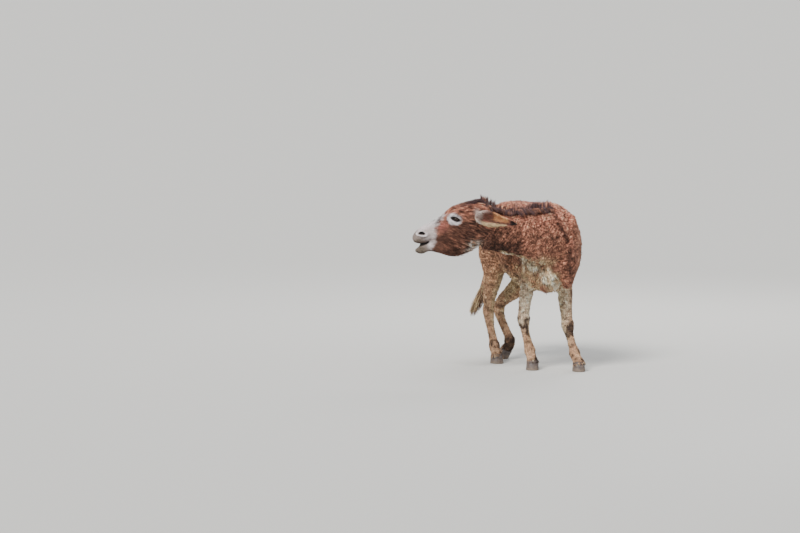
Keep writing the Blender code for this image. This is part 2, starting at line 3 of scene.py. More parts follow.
import bmesh
import bpy
import mathutils
import numpy as np
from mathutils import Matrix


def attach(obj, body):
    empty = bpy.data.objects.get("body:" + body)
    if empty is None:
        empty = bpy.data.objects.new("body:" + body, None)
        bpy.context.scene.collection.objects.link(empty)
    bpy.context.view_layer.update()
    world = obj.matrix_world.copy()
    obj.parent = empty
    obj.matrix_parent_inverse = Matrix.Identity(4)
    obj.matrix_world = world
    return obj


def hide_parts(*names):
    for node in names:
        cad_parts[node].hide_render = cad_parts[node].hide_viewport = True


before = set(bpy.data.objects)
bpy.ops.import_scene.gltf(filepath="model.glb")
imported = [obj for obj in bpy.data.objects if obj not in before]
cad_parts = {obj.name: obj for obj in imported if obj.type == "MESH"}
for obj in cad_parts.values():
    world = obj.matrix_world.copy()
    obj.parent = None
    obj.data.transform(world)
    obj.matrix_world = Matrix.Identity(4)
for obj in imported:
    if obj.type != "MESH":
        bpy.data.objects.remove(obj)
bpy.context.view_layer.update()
print("frame loaded:", len(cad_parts), "nodes")

middle = np.array([-0.2228, 0.2684, 0.0])       # of the footprint, which sits at the origin

body = {
    "voxel": 0.0093,
    "easing": 4,
    "headRefined": 0.030,       # distance from the poll past which the skin is finer
    "muzzleRefined": 0.360,
    "trunkPower": 2.0,
    "underPower": 2.35,
    "headPower": 2.3,
    "legPower": 2.15,
}

# trunk and neck stations: x, y, top, underline, half width
trunkRows = [
    (-0.232, 0.870, 0.990, 0.820, 0.060),
    (-0.213, 0.838, 1.045, 0.760, 0.120),
    (-0.185, 0.780, 1.090, 0.710, 0.178),
    (-0.145, 0.700, 1.122, 0.675, 0.212),
    (-0.095, 0.605, 1.136, 0.640, 0.222),
    (-0.030, 0.495, 1.138, 0.592, 0.240),
    (0.045, 0.365, 1.146, 0.548, 0.283),
    (0.092, 0.230, 1.152, 0.532, 0.283),
    (0.122, 0.100, 1.160, 0.532, 0.240),
    (0.138, -0.010, 1.125, 0.556, 0.200),
    (0.142, -0.110, 1.030, 0.630, 0.158),
    (0.145, -0.172, 0.920, 0.700, 0.105),
]
# swellings of the trunk: middle and radii, x, y, z
bodyForms = {
    "brisket": (0.120, -0.098, 0.642, 0.082, 0.098, 0.102),
    "leftArm": (0.252, -0.072, 0.760, 0.066, 0.105, 0.190),
    "rightArm": (0.008, -0.066, 0.760, 0.068, 0.105, 0.185),
    "leftBlade": (0.285, 0.045, 0.930, 0.052, 0.115, 0.160),
}
neckRows = [
    (0.145, 0.080, 1.120, 0.640, 0.165),
    (0.125, -0.050, 1.118, 0.690, 0.155),
    (0.055, -0.150, 1.108, 0.745, 0.132),
    (-0.060, -0.222, 1.105, 0.797, 0.112),
    (-0.190, -0.258, 1.112, 0.828, 0.100),
    (-0.290, -0.276, 1.140, 0.852, 0.096),
    (-0.350, -0.284, 1.160, 0.866, 0.092),
]

# the head's own frame: from the poll to the muzzle, up out of the brow, and to its left
headTilt = math.radians(24.0)
poll = np.array([-0.362, -0.288, 1.187]) - middle
toMuzzle = np.array([-math.cos(headTilt), 0.0, -math.sin(headTilt)])
toBrow = np.array([-math.sin(headTilt), 0.0, math.cos(headTilt)])
toLeft = np.array([0.0, -1.0, 0.0])
# head stations: distance from the poll, top, underside, half width
upperHeadRows = [
    (-0.050, -0.040, -0.285, 0.078),
    (-0.015, -0.004, -0.288, 0.092),
    (0.060, 0.026, -0.276, 0.102),
    (0.120, 0.040, -0.268, 0.107),
    (0.175, 0.053, -0.262, 0.108),
    (0.235, 0.039, -0.250, 0.094),
    (0.305, 0.021, -0.215, 0.074),
    (0.370, 0.015, -0.165, 0.060),
    (0.425, 0.010, -0.112, 0.053),
    (0.470, -0.001, -0.098, 0.052),
    (0.503, -0.017, -0.084, 0.045),
    (0.522, -0.036, -0.070, 0.028),
]
lowerJawRows = [
    (0.090, -0.120, -0.262, 0.066),
    (0.180, -0.130, -0.279, 0.078),
    (0.265, -0.130, -0.281, 0.074),
    (0.340, -0.120, -0.255, 0.060),
    (0.400, -0.113, -0.205, 0.047),
    (0.450, -0.117, -0.170, 0.040),
    (0.505, -0.112, -0.166, 0.036),
    (0.538, -0.114, -0.140, 0.022),
]
# what fills the mouth between the lips, the same way
gumRows = [
    (0.340, -0.080, -0.150, 0.036),
    (0.410, -0.078, -0.146, 0.036),
    (0.455, -0.080, -0.140, 0.034),
    (0.482, -0.080, -0.134, 0.028),
    (0.496, -0.088, -0.126, 0.016),
]
# swellings on the head's left, mirrored: distance, up, left, and radii the same three ways
headForms = {
    "brow": (0.185, 0.002, 0.076, 0.050, 0.026, 0.030),
    "facialCrest": (0.215, -0.085, 0.070, 0.075, 0.022, 0.024),
    "cheek": (0.120, -0.165, 0.066, 0.085, 0.085, 0.034),
    "nostril": (0.440, -0.038, 0.036, 0.042, 0.036, 0.026),
    "upperLip": (0.492, -0.058, 0.014, 0.028, 0.028, 0.030),
    "lowerLip": (0.496, -0.142, 0.010, 0.030, 0.024, 0.026),
}

# legs: the joints from the top down, the way each faces in plan, and the way up its foot
hoofHeight = 0.060
flatFoot = np.array([0.0, 0.0, 1.0])
tippedFoot = np.array([0.50, -0.42, 0.76]) / np.linalg.norm([0.50, -0.42, 0.76])
legs = {
    "right_fore": {
        "joints": [(0.020, -0.080, 0.760), (-0.008, 0.085, 0.620), (-0.046, 0.030, 0.360),
                   (-0.004, 0.014, 0.140), (0.014, -0.022, 0.060)],
        "facing": (0.10, -1.0), "footUp": flatFoot,
    },
    "left_fore": {
        "joints": [(0.250, -0.095, 0.760), (0.240, 0.058, 0.612), (0.258, 0.000, 0.320),
                   (0.304, -0.066, 0.128), (0.332, -0.112, 0.060)],
        "facing": (0.22, -1.0), "footUp": flatFoot,
    },
    "right_hind": {
        "joints": [(-0.222, 0.610, 0.900), (-0.238, 0.500, 0.660), (-0.278, 0.580, 0.365),
                   (-0.240, 0.452, 0.125), (-0.226, 0.405, 0.060)],
        "facing": (0.45, -1.0), "footUp": flatFoot,
    },
    "left_hind": {
        "joints": [(-0.035, 0.735, 0.890), (-0.034, 0.652, 0.568), (-0.197, 0.790, 0.364),
                   (-0.126, 0.664, 0.140), (-0.149, 0.690, 0.070)],
        "facing": (0.50, -0.866), "footUp": tippedFoot,
    },
}
# place (0 shoulder or hip, 1 elbow or stifle, 2 knee or hock, 3 fetlock, 4 coronet),
# half width, depth ahead, depth behind
hoofGirths = [(4.00, 0.041, 0.041, 0.040), (5.00, 0.044, 0.058, 0.042)]
foreGirths = [
    (0.00, 0.072, 0.080, 0.100),
    (0.60, 0.070, 0.095, 0.100),
    (1.00, 0.058, 0.082, 0.086),
    (1.25, 0.053, 0.062, 0.066),
    (1.60, 0.046, 0.047, 0.051),
    (1.85, 0.042, 0.041, 0.044),
    (2.00, 0.049, 0.047, 0.043),
    (2.15, 0.043, 0.041, 0.040),
    (2.35, 0.032, 0.032, 0.037),
    (2.65, 0.031, 0.031, 0.037),
    (2.88, 0.036, 0.036, 0.044),
    (3.00, 0.041, 0.040, 0.050),
    (3.40, 0.036, 0.035, 0.040),
    *hoofGirths,
]
hindGirths = [
    (0.00, 0.100, 0.140, 0.170),
    (0.50, 0.102, 0.130, 0.165),
    (1.00, 0.078, 0.090, 0.125),
    (1.30, 0.062, 0.066, 0.090),
    (1.65, 0.047, 0.048, 0.060),
    (1.88, 0.040, 0.041, 0.055),
    (2.00, 0.043, 0.043, 0.058),
    (2.15, 0.040, 0.038, 0.047),
    (2.40, 0.031, 0.032, 0.036),
    (2.75, 0.030, 0.032, 0.037),
    (2.92, 0.036, 0.036, 0.044),
    (3.00, 0.040, 0.040, 0.049),
    (3.40, 0.036, 0.035, 0.039),
    *hoofGirths,
]
# the tail from its root to the end of the switch: x, y, z, radius
tailRows = [
    (-0.208, 0.842, 1.055, 0.038),
    (-0.238, 0.902, 1.005, 0.036),
    (-0.258, 0.934, 0.900, 0.032),
    (-0.268, 0.932, 0.760, 0.028),
    (-0.276, 0.912, 0.620, 0.026),
    (-0.302, 0.888, 0.500, 0.031),
    (-0.346, 0.864, 0.405, 0.034),
    (-0.378, 0.852, 0.330, 0.026),
    (-0.390, 0.848, 0.280, 0.009),
]


def unit(vectors):
    # each vector divided by its own length
    return vectors / np.maximum(np.linalg.norm(vectors, axis=-1, keepdims=True), 1e-9)


def dot(first, second):
    return (first * second).sum(-1)


def ramp(value, low, high):
    # 0 below low, 1 above high, and an S-shaped rise between (3t^2 - 2t^3)
    t = np.clip((value - low) / (high - low), 0.0, 1.0)
    return t * t * (3 - 2 * t)


def fall(value, low, high):
    # 1 below low, 0 above high
    return 1 - ramp(value, low, high)


def spot(points, centre, radii):
    # 1 at the centre of an ellipsoid, falling to 0 at its surface
    return fall(np.sqrt((((points - np.asarray(centre)) / np.asarray(radii)) ** 2).sum(-1)), 0.0, 1.0)


def bell(value, centre, width):
    # exp(-((value - centre) / width)^2): 1 at the centre, falling away on both sides
    return np.exp(-((value - centre) / width) ** 2)


def dapple(points, grain, seed=0):
    # smooth noise from -1 to 1: random numbers at the corners of a grid of cells `grain`
    # wide, carried between the corners by the same S-shaped rise
    cells = points / grain + seed * 17.31
    low = np.floor(cells)
    part = cells - low
    part = part * part * (3 - 2 * part)
    total = np.zeros(len(points))
    for corner in np.ndindex(2, 2, 2):
        at = low + corner
        mixed = np.sin(at @ np.array([127.1, 311.7, 74.7]) + seed * 53.7) * 43758.5453
        share = np.prod(np.where(np.array(corner) == 1, part, 1 - part), axis=1)
        total += share * (mixed - np.floor(mixed))
    return 2 * total - 1


def finer(rows, steps):
    # Catmull-Rom curve through the rows, with `steps` rows to each span
    rows = np.asarray(rows, dtype=float)
    padded = np.vstack([2 * rows[0] - rows[1], rows, 2 * rows[-1] - rows[-2]])
    t = (np.arange(steps) / steps)[:, None]
    spans = []
    for i in range(len(rows) - 1):
        a, b, c, d = padded[i:i + 4]
        spans.append(0.5 * (2 * b + (c - a) * t + (2 * a - 5 * b + 4 * c - d) * t ** 2
                            + (3 * b - a - 3 * c + d) * t ** 3))
    return np.vstack(spans + [rows[-1:]])


def levelWay(rows):
    # the way that rows run in plan
    along = np.gradient(rows[:, :2], axis=0)
    return unit(np.column_stack([along, np.zeros(len(rows))]))


def circle(sides):
    return np.linspace(0.0, 2 * math.pi, sides, endpoint=False)


def oval(sides, power, lowerPower=None):
    # unit superellipse: |across|^power + |up|^power = 1, with another power below
    angle = circle(sides)
    powers = np.where(np.sin(angle) < 0, lowerPower or power, power)
    across = np.sign(np.cos(angle)) * np.abs(np.cos(angle)) ** (2 / powers)
    up = np.sign(np.sin(angle)) * np.abs(np.sin(angle)) ** (2 / powers)
    return across, up


def gridFaces(rows, columns, closed=True):
    # quads of a grid of rows x columns points; closed joins the last column to the first
    step = columns if closed else columns - 1
    i, j = np.meshgrid(np.arange(rows - 1), np.arange(step), indexing="ij")
    i, j = i.ravel(), j.ravel()
    ahead = (j + 1) % columns
    return np.column_stack([i * columns + j, i * columns + ahead,
                            (i + 1) * columns + ahead, (i + 1) * columns + j])


def moved(start, *steps):
    # start plus each step's vector times its amount, which can differ from point to point
    for way, amount in steps:
        start = start + way * np.asarray(amount)[..., None]
    return start


def inHead(along, up, left):
    return moved(poll, (toMuzzle, along), (toBrow, up), (toLeft, left))


def headPlace(points):
    # a point's distance from the poll, height over the head's axis, and way to its left
    away = points - poll
    return away @ toMuzzle, away @ toBrow, away @ toLeft


def addMesh(name, points, faces):
    # faces is an array of triangles or quads, or a list of such arrays
    blocks = faces if isinstance(faces, list) else [faces]
    mesh = bpy.data.meshes.new(name)
    loops = np.concatenate([block.ravel() for block in blocks]).astype(np.int32)
    sizes = np.concatenate([np.full(len(block), block.shape[1]) for block in blocks])
    starts = np.concatenate([[0], np.cumsum(sizes)[:-1]]).astype(np.int32)
    mesh.vertices.add(len(points))
    mesh.vertices.foreach_set("co", np.ascontiguousarray(points, dtype=np.float32).ravel())
    mesh.loops.add(len(loops))
    mesh.loops.foreach_set("vertex_index", loops)
    mesh.polygons.add(len(starts))
    mesh.polygons.foreach_set("loop_start", starts)
    mesh.update(calc_edges=True)
    mesh.validate()
    mesh.shade_smooth()
    made = bpy.data.objects.new(name, mesh)
    bpy.context.scene.collection.objects.link(made)
    return made


def closedLoft(rings):
    # a surface through rings of equally many points, with a fan of triangles at each end
    count, sides = rings.shape[:2]
    points = np.vstack([rings.reshape(-1, 3), rings[0].mean(0), rings[-1].mean(0)])
    k = np.arange(sides)
    ahead = (k + 1) % sides
    first, last = count * sides, count * sides + 1
    end = (count - 1) * sides
    caps = np.vstack([np.column_stack([np.full(sides, first), ahead, k]),
                      np.column_stack([np.full(sides, last), end + k, end + ahead])])
    return points, [gridFaces(count, sides), caps]


def faceOutwards(target):
    shape = bmesh.new()
    shape.from_mesh(target.data)
    bmesh.ops.recalc_face_normals(shape, faces=shape.faces)
    shape.to_mesh(target.data)
    shape.free()


def applied(target):
    # the mesh that the modifiers make, with the modifiers gone
    graph = bpy.context.evaluated_depsgraph_get()
    mesh = bpy.data.meshes.new_from_object(target.evaluated_get(graph))
    target.modifiers.clear()
    target.data = mesh
    return target


def gathered(items, name, size, kind=np.float32):
    # one property of all the items of a mesh, as rows of `size` numbers
    found = np.empty(len(items) * size, dtype=kind)
    items.foreach_get(name, found)
    return found.reshape(-1, size)


def positions(mesh):
    return gathered(mesh.vertices, "co", 3).astype(float)


def normals(mesh):
    return gathered(mesh.vertex_normals, "vector", 3).astype(float)


def triangles(mesh):
    mesh.calc_loop_triangles()
    return gathered(mesh.loop_triangles, "vertices", 3, np.int32)


def movePoints(target, points):
    target.data.vertices.foreach_set("co", points.astype(np.float32).ravel())
    target.data.update()


def carry(mesh, name, values, kind="FLOAT_VECTOR", key="vector"):
    # values at the points, kept as an attribute that the materials read
    layer = mesh.attributes.new(name, kind, "POINT")
    layer.data.foreach_set(key, values.astype(np.float32).ravel())


def paint(mesh, colours, force=None):
    # a colour for each point, with a fourth number: how strongly the painted light and shade of the
    # coat's crimp shows
    force = np.ones(len(colours)) if force is None else force
    carry(mesh, "coat", np.column_stack([colours, force]), "FLOAT_COLOR", "color")


def eased(points, edges, weight, rounds):
    # each point moves half of its weight towards the mean of its neighbours, again and again
    count = np.bincount(edges.ravel(), minlength=len(points))[:, None]
    for _ in range(rounds):
        total = np.zeros_like(points)
        for axis in range(3):
            total[:, axis] = (np.bincount(edges[:, 0], points[edges[:, 1], axis], len(points))
                              + np.bincount(edges[:, 1], points[edges[:, 0], axis], len(points)))
        points = points + 0.5 * weight[:, None] * (total / np.maximum(count, 1) - points)
    return points


def chainOf(centre, way, side, up, wide, high, section, depth=None, **more):
    # a chain is a curve with an oval across it, and the coat runs along it; its rings are
    # centre + side * wide * across + up * depth * rise
    across, rise = section
    depth = high[:, None] if depth is None else depth
    rings = moved(centre[:, None], (side[:, None], wide[:, None] * across), (up[:, None], depth * rise))
    return {"centre": centre, "way": way, "side": side, "up": up, "wide": wide, "high": high,
            "rings": rings, **more}


def uprightChain(rows, steps, sides):
    # ovals that stand upright across a curve in plan
    rows = finer(rows, steps)
    along = levelWay(rows)
    side = np.column_stack([-along[:, 1], along[:, 0], np.zeros(len(rows))])
    up = np.tile([0.0, 0.0, 1.0], (len(rows), 1))
    centre = np.column_stack([rows[:, :2], (rows[:, 2] + rows[:, 3]) / 2]) - middle
    return chainOf(centre, -along, side, up, rows[:, 4], (rows[:, 2] - rows[:, 3]) / 2,
                   oval(sides, body["trunkPower"], body["underPower"]))


def headChain(rows, steps, sides):
    # ovals square to the head's own axis
    rows = finer(rows, steps)
    centre = inHead(rows[:, 0], (rows[:, 1] + rows[:, 2]) / 2, np.zeros(len(rows)))
    axes = (np.tile(axis, (len(rows), 1)) for axis in (-toMuzzle, toLeft, toBrow))
    return chainOf(centre, *axes, rows[:, 3], (rows[:, 1] - rows[:, 2]) / 2,
                   oval(sides, body["headPower"]))


def legChain(leg, girths, sides):
    # ovals square to a path through the joints; their depth ahead and behind differ
    joints = [np.array(j) - middle for j in leg["joints"]]
    joints.append(joints[-1] - leg["footUp"] * hoofHeight)
    path = finer(joints, 10)
    place = np.linspace(0, len(joints) - 1, len(path))
    girths = finer(girths, 8)
    stations = np.unique(np.concatenate([girths[:, 0], place]))
    centre = np.column_stack([np.interp(stations, place, path[:, i]) for i in range(3)])
    sizes = np.column_stack([np.interp(stations, girths[:, 0], girths[:, i]) for i in (1, 2, 3)])
    down = np.gradient(centre, axis=0)
    for _ in range(3):
        down[1:-1] = (down[:-2] + down[1:-1] + down[2:]) / 3
    down = unit(down)
    facing = unit(np.array([*leg["facing"], 0.0]))
    ahead = unit(facing - down * (down @ facing)[:, None])
    section = oval(sides, body["legPower"])
    depth = np.where(section[1][None] > 0, sizes[:, 1][:, None], sizes[:, 2][:, None])
    return chainOf(centre, down, np.cross(down, ahead), ahead, sizes[:, 0],
                   (sizes[:, 1] + sizes[:, 2]) / 2, section, depth, place=stations)


def tubeChain(rows, steps, sides):
    # round sections along a path
    rows = finer(rows, steps)
    centre = rows[:, :3] - middle
    along = unit(np.gradient(centre, axis=0))
    side = unit(np.cross(along, np.array([0.0, 1.0, 0.0])))
    return chainOf(centre, along, side, np.cross(along, side), rows[:, 3], rows[:, 3],
                   oval(sides, 2.0))


chains = {
    "trunk": uprightChain(trunkRows, 6, 56),
    "neck": uprightChain(neckRows, 6, 56),
    "head": headChain(upperHeadRows, 6, 48),
    "jaw": headChain(lowerJawRows, 6, 40),
    "tail": tubeChain(tailRows[:6], 6, 24),
}
for legName, leg in legs.items():
    chains[legName] = legChain(leg, foreGirths if "fore" in legName else hindGirths, 36)
chainNames = list(chains)
print("chains ready:", ", ".join(chainNames))


atOnce = 20000                  # points measured against a chain at one time


def chainPlace(points, chain):
    # nearest station of a chain: how far out in its oval (1 is the surface), the share of
    # the way along it, the turn round it, the offsets to the side and up, and the station
    centre = chain["centre"]
    blocks = np.array_split(points, len(points) // atOnce + 1)
    nearest = np.concatenate([((near[:, None] - centre[None]) ** 2).sum(-1).argmin(1)
                              for near in blocks])
    away = points - centre[nearest]
    side = dot(away, chain["side"][nearest]) / chain["wide"][nearest]
    up = dot(away, chain["up"][nearest]) / chain["high"][nearest]
    axial = dot(away, chain["way"][nearest]) / np.minimum(chain["wide"], chain["high"])[nearest]
    out = np.sqrt(side ** 2 + up ** 2 + 0.5 * axial ** 2)
    turn = np.arctan2(up, side) / (2 * math.pi) + 0.5
    return {"out": out, "share": nearest / (len(centre) - 1), "turn": turn, "side": side,
            "up": up, "station": nearest}


coatRows = {                    # depth of the coat, length and width of tufts, tufts per m2
    "trunk": (0.015, 0.034, 0.0054, 25000),
    "neck": (0.015, 0.033, 0.0052, 30000),
    "head": (0.0062, 0.017, 0.0026, 72000),
    "jaw": (0.0085, 0.032, 0.0033, 56000),
    "tail": (0.007, 0.022, 0.0040, 26000),
    "fore": (0.0062, 0.022, 0.0030, 58000),
    "hind": (0.0068, 0.023, 0.0032, 47000),
}


def perPoint(shares, column):
    # a column of the coat's table at each point, by its shares of the chains
    return sum(share * coatRows[name.split("_")[-1]][column] for name, share in shares.items())


def swelling(centre, axes):
    # an ellipsoid: its three half axes weighted by the sines and cosines of two angles
    height, angle = np.meshgrid(np.linspace(-1, 1, 15)[1:-1] * math.pi / 2,
                                circle(24), indexing="ij")
    flat = np.cos(height)
    return centre + (np.multiply.outer(flat * np.cos(angle), axes[0])
                     + np.multiply.outer(flat * np.sin(angle), axes[1])
                     + np.multiply.outer(np.sin(height), axes[2]))


def bodyShell():
    # the lofts of every chain and the head's swellings, melted into one closed shell
    pieces = [closedLoft(chain["rings"]) for chain in chains.values()]
    pieces.append(closedLoft(headChain(gumRows, 4, 24)["rings"]))
    for along, up, left, long, high, wide in headForms.values():
        for hand in (1, -1):
            centre = inHead(along, up, hand * left)
            pieces.append(closedLoft(swelling(centre, (toMuzzle * long, toLeft * wide, toBrow * high))))
    for x, y, z, *radii in bodyForms.values():
        pieces.append(closedLoft(swelling(np.array([x, y, z]) - middle, np.diag(radii))))
    points, faces, start = [], [], 0
    for made, blocks in pieces:
        points.append(made)
        faces += [block + start for block in blocks]
        start += len(made)
    shell = addMesh("donkey_skin", np.vstack(points), faces)
    faceOutwards(shell)
    melt = shell.modifiers.new("melt", "REMESH")
    melt.mode = "VOXEL"
    melt.voxel_size = body["voxel"]
    ease = shell.modifiers.new("ease", "SMOOTH")
    ease.factor = 0.5
    ease.iterations = body["easing"]
    return applied(shell)


def refine(target, chosen):
    # splits in four the faces whose middles are chosen, by a function of their places
    shape = bmesh.new()
    shape.from_mesh(target.data)
    picked = chosen(np.array([face.calc_center_median() for face in shape.faces]))
    faces = [face for face, take in zip(shape.faces, picked) if take]
    edges = list({edge for face in faces for edge in face.edges})
    bmesh.ops.subdivide_edges(shape, edges=edges, cuts=1, use_grid_fill=True)
    shape.to_mesh(target.data)
    shape.free()


def onHead(points):
    along, up, left = headPlace(points)
    return (along > body["headRefined"]) & (np.abs(left) < 0.14) & (up > -0.33) & (up < 0.10)


def onMuzzle(points):
    return onHead(points) & (headPlace(points)[0] > body["muzzleRefined"])


skin = bodyShell()
refine(skin, onHead)
refine(skin, onMuzzle)
print("skin melted:", len(skin.data.polygons), "faces")


def belonging(out, surface):
    # 1 up to a chain's surface, falling as exp(-7 times the distance past it)
    return np.exp(-7.0 * np.clip(out - surface, 0, None))


def chainShares(points):
    # how much of each chain a point belongs to: near its surface it counts for most
    shares = {}
    for name in chainNames:
        shares[name] = belonging(chainPlace(points, chains[name])["out"], 0.9)
    total = sum(shares.values()) + 1e-9
    return {name: share / total for name, share in shares.items()}


def headShare(shares):
    return np.clip(shares["head"] + shares["jaw"], 0, 1)


def legStation(points):
    # the place down the nearest leg, 0 at its top and 4 at the coronet, and that leg's share
    shares = np.zeros(len(points))
    stations = np.zeros(len(points))
    for name in legs:
        found = chainPlace(points, chains[name])
        share = belonging(found["out"], 1.12)
        better = share > shares
        shares = np.where(better, share, shares)
        stations = np.where(better, chains[name]["place"][found["station"]], stations)
    return stations, shares


# where the ears spring, end and open
ears = {
    "left": {"base": (-0.372, -0.390, 1.096), "tip": (-0.104, -0.423, 1.046),
             "opening": (0.05, -0.90, -0.42)},
    "right": {"base": (-0.372, -0.196, 1.096), "tip": (-0.122, -0.060, 1.062),
              "opening": (0.05, 0.78, -0.45)},
}
earHollow = 0.022               # depth of the hollow that each ear lies in


def earEnds(hand):
    return [np.array(ears[hand][key]) - middle for key in ("base", "tip")]


def fromEar(points, hand):
    # share of the way along an ear's axis, up to 0.7 of it, and the distance to it
    base, tip = earEnds(hand)
    share = np.clip((points - base) @ (tip - base) / ((tip - base) @ (tip - base)), 0, 0.7)
    return share, np.linalg.norm(points - base - np.outer(share, tip - base), axis=1)


eye = {
    "radius": 0.0205,
    "white": 0.955,             # reach of the globe behind the cornea, and how much further
    "cornea": 0.075,            # the cornea's middle reaches, as shares of that radius
    "along": 0.192, "up": -0.036, "left": 0.085, "sunk": 0.0035,
    "halfLong": 0.0275,         # of the opening between the lids
    "halfHigh": 0.0098,
    "tilt": math.radians(38.0),         # of its length over the head's own axis
}
nostril = {
    "along": 0.447, "up": -0.034,
    "long": 0.0260, "high": 0.0125, "deep": 0.024,
    "tilt": math.radians(30.0),
    "rim": 0.0072,
}
nostrilBend = 0.0030            # of its long axis, so that it is a comma
mouth = {
    "line": [(0.424, -0.106), (0.445, -0.108), (0.470, -0.104), (0.500, -0.096), (0.530, -0.088)],
    "deep": 0.010,
    "wide": 0.0060,
}


def turned(along, up, place):
    # offsets from a feature's middle, along its own length and across it
    c, s = math.cos(place["tilt"]), math.sin(place["tilt"])
    x, y = along - place["along"], up - place["up"]
    return c * x + s * y, -s * x + c * y


def nostrilReach(along, up, bend=nostrilBend):
    # 1 on the nostril's edge, an oval bent into a comma
    x, y = turned(along, up, nostril)
    y = y - bend * np.cos(x / nostril["long"] * 2.2)
    return np.sqrt((x / nostril["long"]) ** 2 + (y / nostril["high"]) ** 2)


def lipLine(along):
    # height of the line between the lips over the head's axis
    return np.interp(along, *finer(mouth["line"], 6).T)


# hollows and low ridges on each side: middle (distance, up, left), length, height and depth
faceHollows = [
    ((0.270, -0.045, 0.070), 0.060, 0.026, -0.006),
    ((0.120, -0.012, 0.085), 0.040, 0.022, -0.007),
    ((0.330, -0.020, 0.050), 0.070, 0.030, -0.003),
    ((0.250, -0.090, 0.080), 0.090, 0.014, 0.004),
    ((0.100, -0.150, 0.095), 0.060, 0.110, 0.004),
]


def faceForms(points, facing):
    # how far each point moves: hollows and rims as smooth falls of the distance to them
    along, up, left = headPlace(points)
    hand = np.sign(left)
    shift = np.zeros_like(points)
    onFace = ramp(along, 0.05, 0.12)
    # nostril: a comma that sinks inwards, with a rolled rim
    reach = nostrilReach(along, up)
    side = ramp(np.abs(left), 0.012, 0.026)
    sink = fall(reach, 0.45, 1.05) * side
    rim = bell(reach, 1.35, 0.28) * side
    inwards = -toLeft[None] * hand[:, None] * 0.8 - toMuzzle[None] * 0.6
    shift = moved(shift, (inwards, nostril["deep"] * sink), (facing, nostril["rim"] * rim))
    # a hollow in front of the eye, over the facial crest and in the temple
    place = np.column_stack([along, up, np.abs(left)])
    for centre, long, high, depth in faceHollows:
        shift = moved(shift, (facing, depth * spot(place, centre, (long, high, 0.05))))
    # socket: the skin sinks behind the eye, where the lids open
    x, y = turned(along, up, eye)
    reach = np.sqrt((x / (eye["halfLong"] * 0.95)) ** 2 + (y / (eye["halfHigh"] * 1.15)) ** 2)
    socket = fall(reach, 0.55, 1.10) * ramp(np.abs(left), 0.05, 0.06)
    shift = moved(shift, (-toLeft * hand[:, None], 0.018 * socket))
    # mouth: a crease along the lips, which opens towards the front
    past = np.clip(mouth["line"][0][0] - along, 0, None)
    near = np.hypot(up - lipLine(along), past)
    crease = bell(near, 0, mouth["wide"]) * ramp(along, 0.40, 0.43)
    shift = moved(shift, (-facing, mouth["deep"] * crease))
    # wrinkles of the muzzle, and chin bristle bumps
    fold = np.sin(260 * along + 80 * up + 1.5 * dapple(points, 0.03, 3))
    onFold = ramp(along, 0.38, 0.42) * fall(along, 0.45, 0.48) * ramp(-up, 0.04, 0.07) \
        * fall(-up, 0.10, 0.13)
    return moved(shift, (facing, 0.0009 * fold * onFold)) * onFace[:, None]


def dressSkin():
    # the shell drawn in by the coat's depth, eased on the head, and the face pressed in
    mesh = skin.data
    points = positions(mesh)
    edges = gathered(mesh.edges, "vertices", 2, np.int32)
    along = headPlace(points)[0]
    head = onHead(points).astype(float)
    points = eased(points, edges, 0.9 * head, 5)
    movePoints(skin, points)
    shares = chainShares(points)
    station, onLeg = legStation(points)
    depth = perPoint(shares, 0)
    depth = depth * (1 - 0.45 * ramp(station, 2.0, 3.2) * (onLeg > 0.5))
    depth = depth * (1 - 0.75 * ramp(along, 0.30, 0.44) * head)
    facing = normals(mesh)
    points = moved(points, (-facing, depth))
    # hollows of the neck that the ears lie in
    for hand in ears:
        share, gap = fromEar(points, hand)
        hollow = earHollow * fall(gap, 0.040, 0.075) * ramp(share, 0.0, 0.08)
        points = moved(points, (-facing, hollow))
    points = points + faceForms(points, facing)
    points = eased(points, edges, 0.5 * head, 1)
    # muscle and bone under the coat: a few centimetres wide and a few millimetres high
    ripple = 0.0030 * dapple(points, 0.11, 5) + 0.0012 * dapple(points, 0.035, 9)
    points = moved(points, (facing, ripple * (1 - head) * (1 - 0.7 * (onLeg > 0.5))))
    points[:, 2] = np.maximum(points[:, 2], 0.008)      # inside the hooves, clear of the floor
    movePoints(skin, points)
    return points, normals(mesh), shares, station, onLeg, depth


skinPoints, skinFacing, skinShares, skinStation, skinOnLeg, skinDepth = dressSkin()
skinTriangles = triangles(skin.data)
print("skin dressed:", len(skinTriangles), "triangles")


def laidFlat(way, facing):
    # unit vectors in the surface: way less the part of it that stands out
    return unit(way - facing * dot(way, facing)[:, None])


def coatLie(points, facing, shares):
    # the way of each chain where the point belongs to it, bent downwards on the flanks and
    # where the surface faces along the chain, then laid flat in the surface
    way = np.zeros_like(points)
    droops = {"trunk": 0.85, "neck": 1.00, "head": 0.45, "jaw": 1.30}
    for name in chainNames:
        found = chainPlace(points, chains[name])
        ahead = chains[name]["way"][found["station"]]
        blunt = np.abs(dot(facing, ahead))
        droop = droops.get(name, 0.0) * np.abs(found["side"]) + 1.4 * blunt
        outwards = chains[name]["side"][found["station"]] * (0.9 * blunt * found["side"])[:, None]
        ahead = unit(moved(ahead, (np.array([0.0, 0.0, -1.0]), droop)) + outwards)
        way += ahead * shares[name][:, None]
    swirl = 0.26 * dapple(points, 0.09, 21) + 0.26 * dapple(points, 0.030, 22)
    way = way + np.cross(facing, way) * swirl[:, None]
    return laidFlat(way, facing)


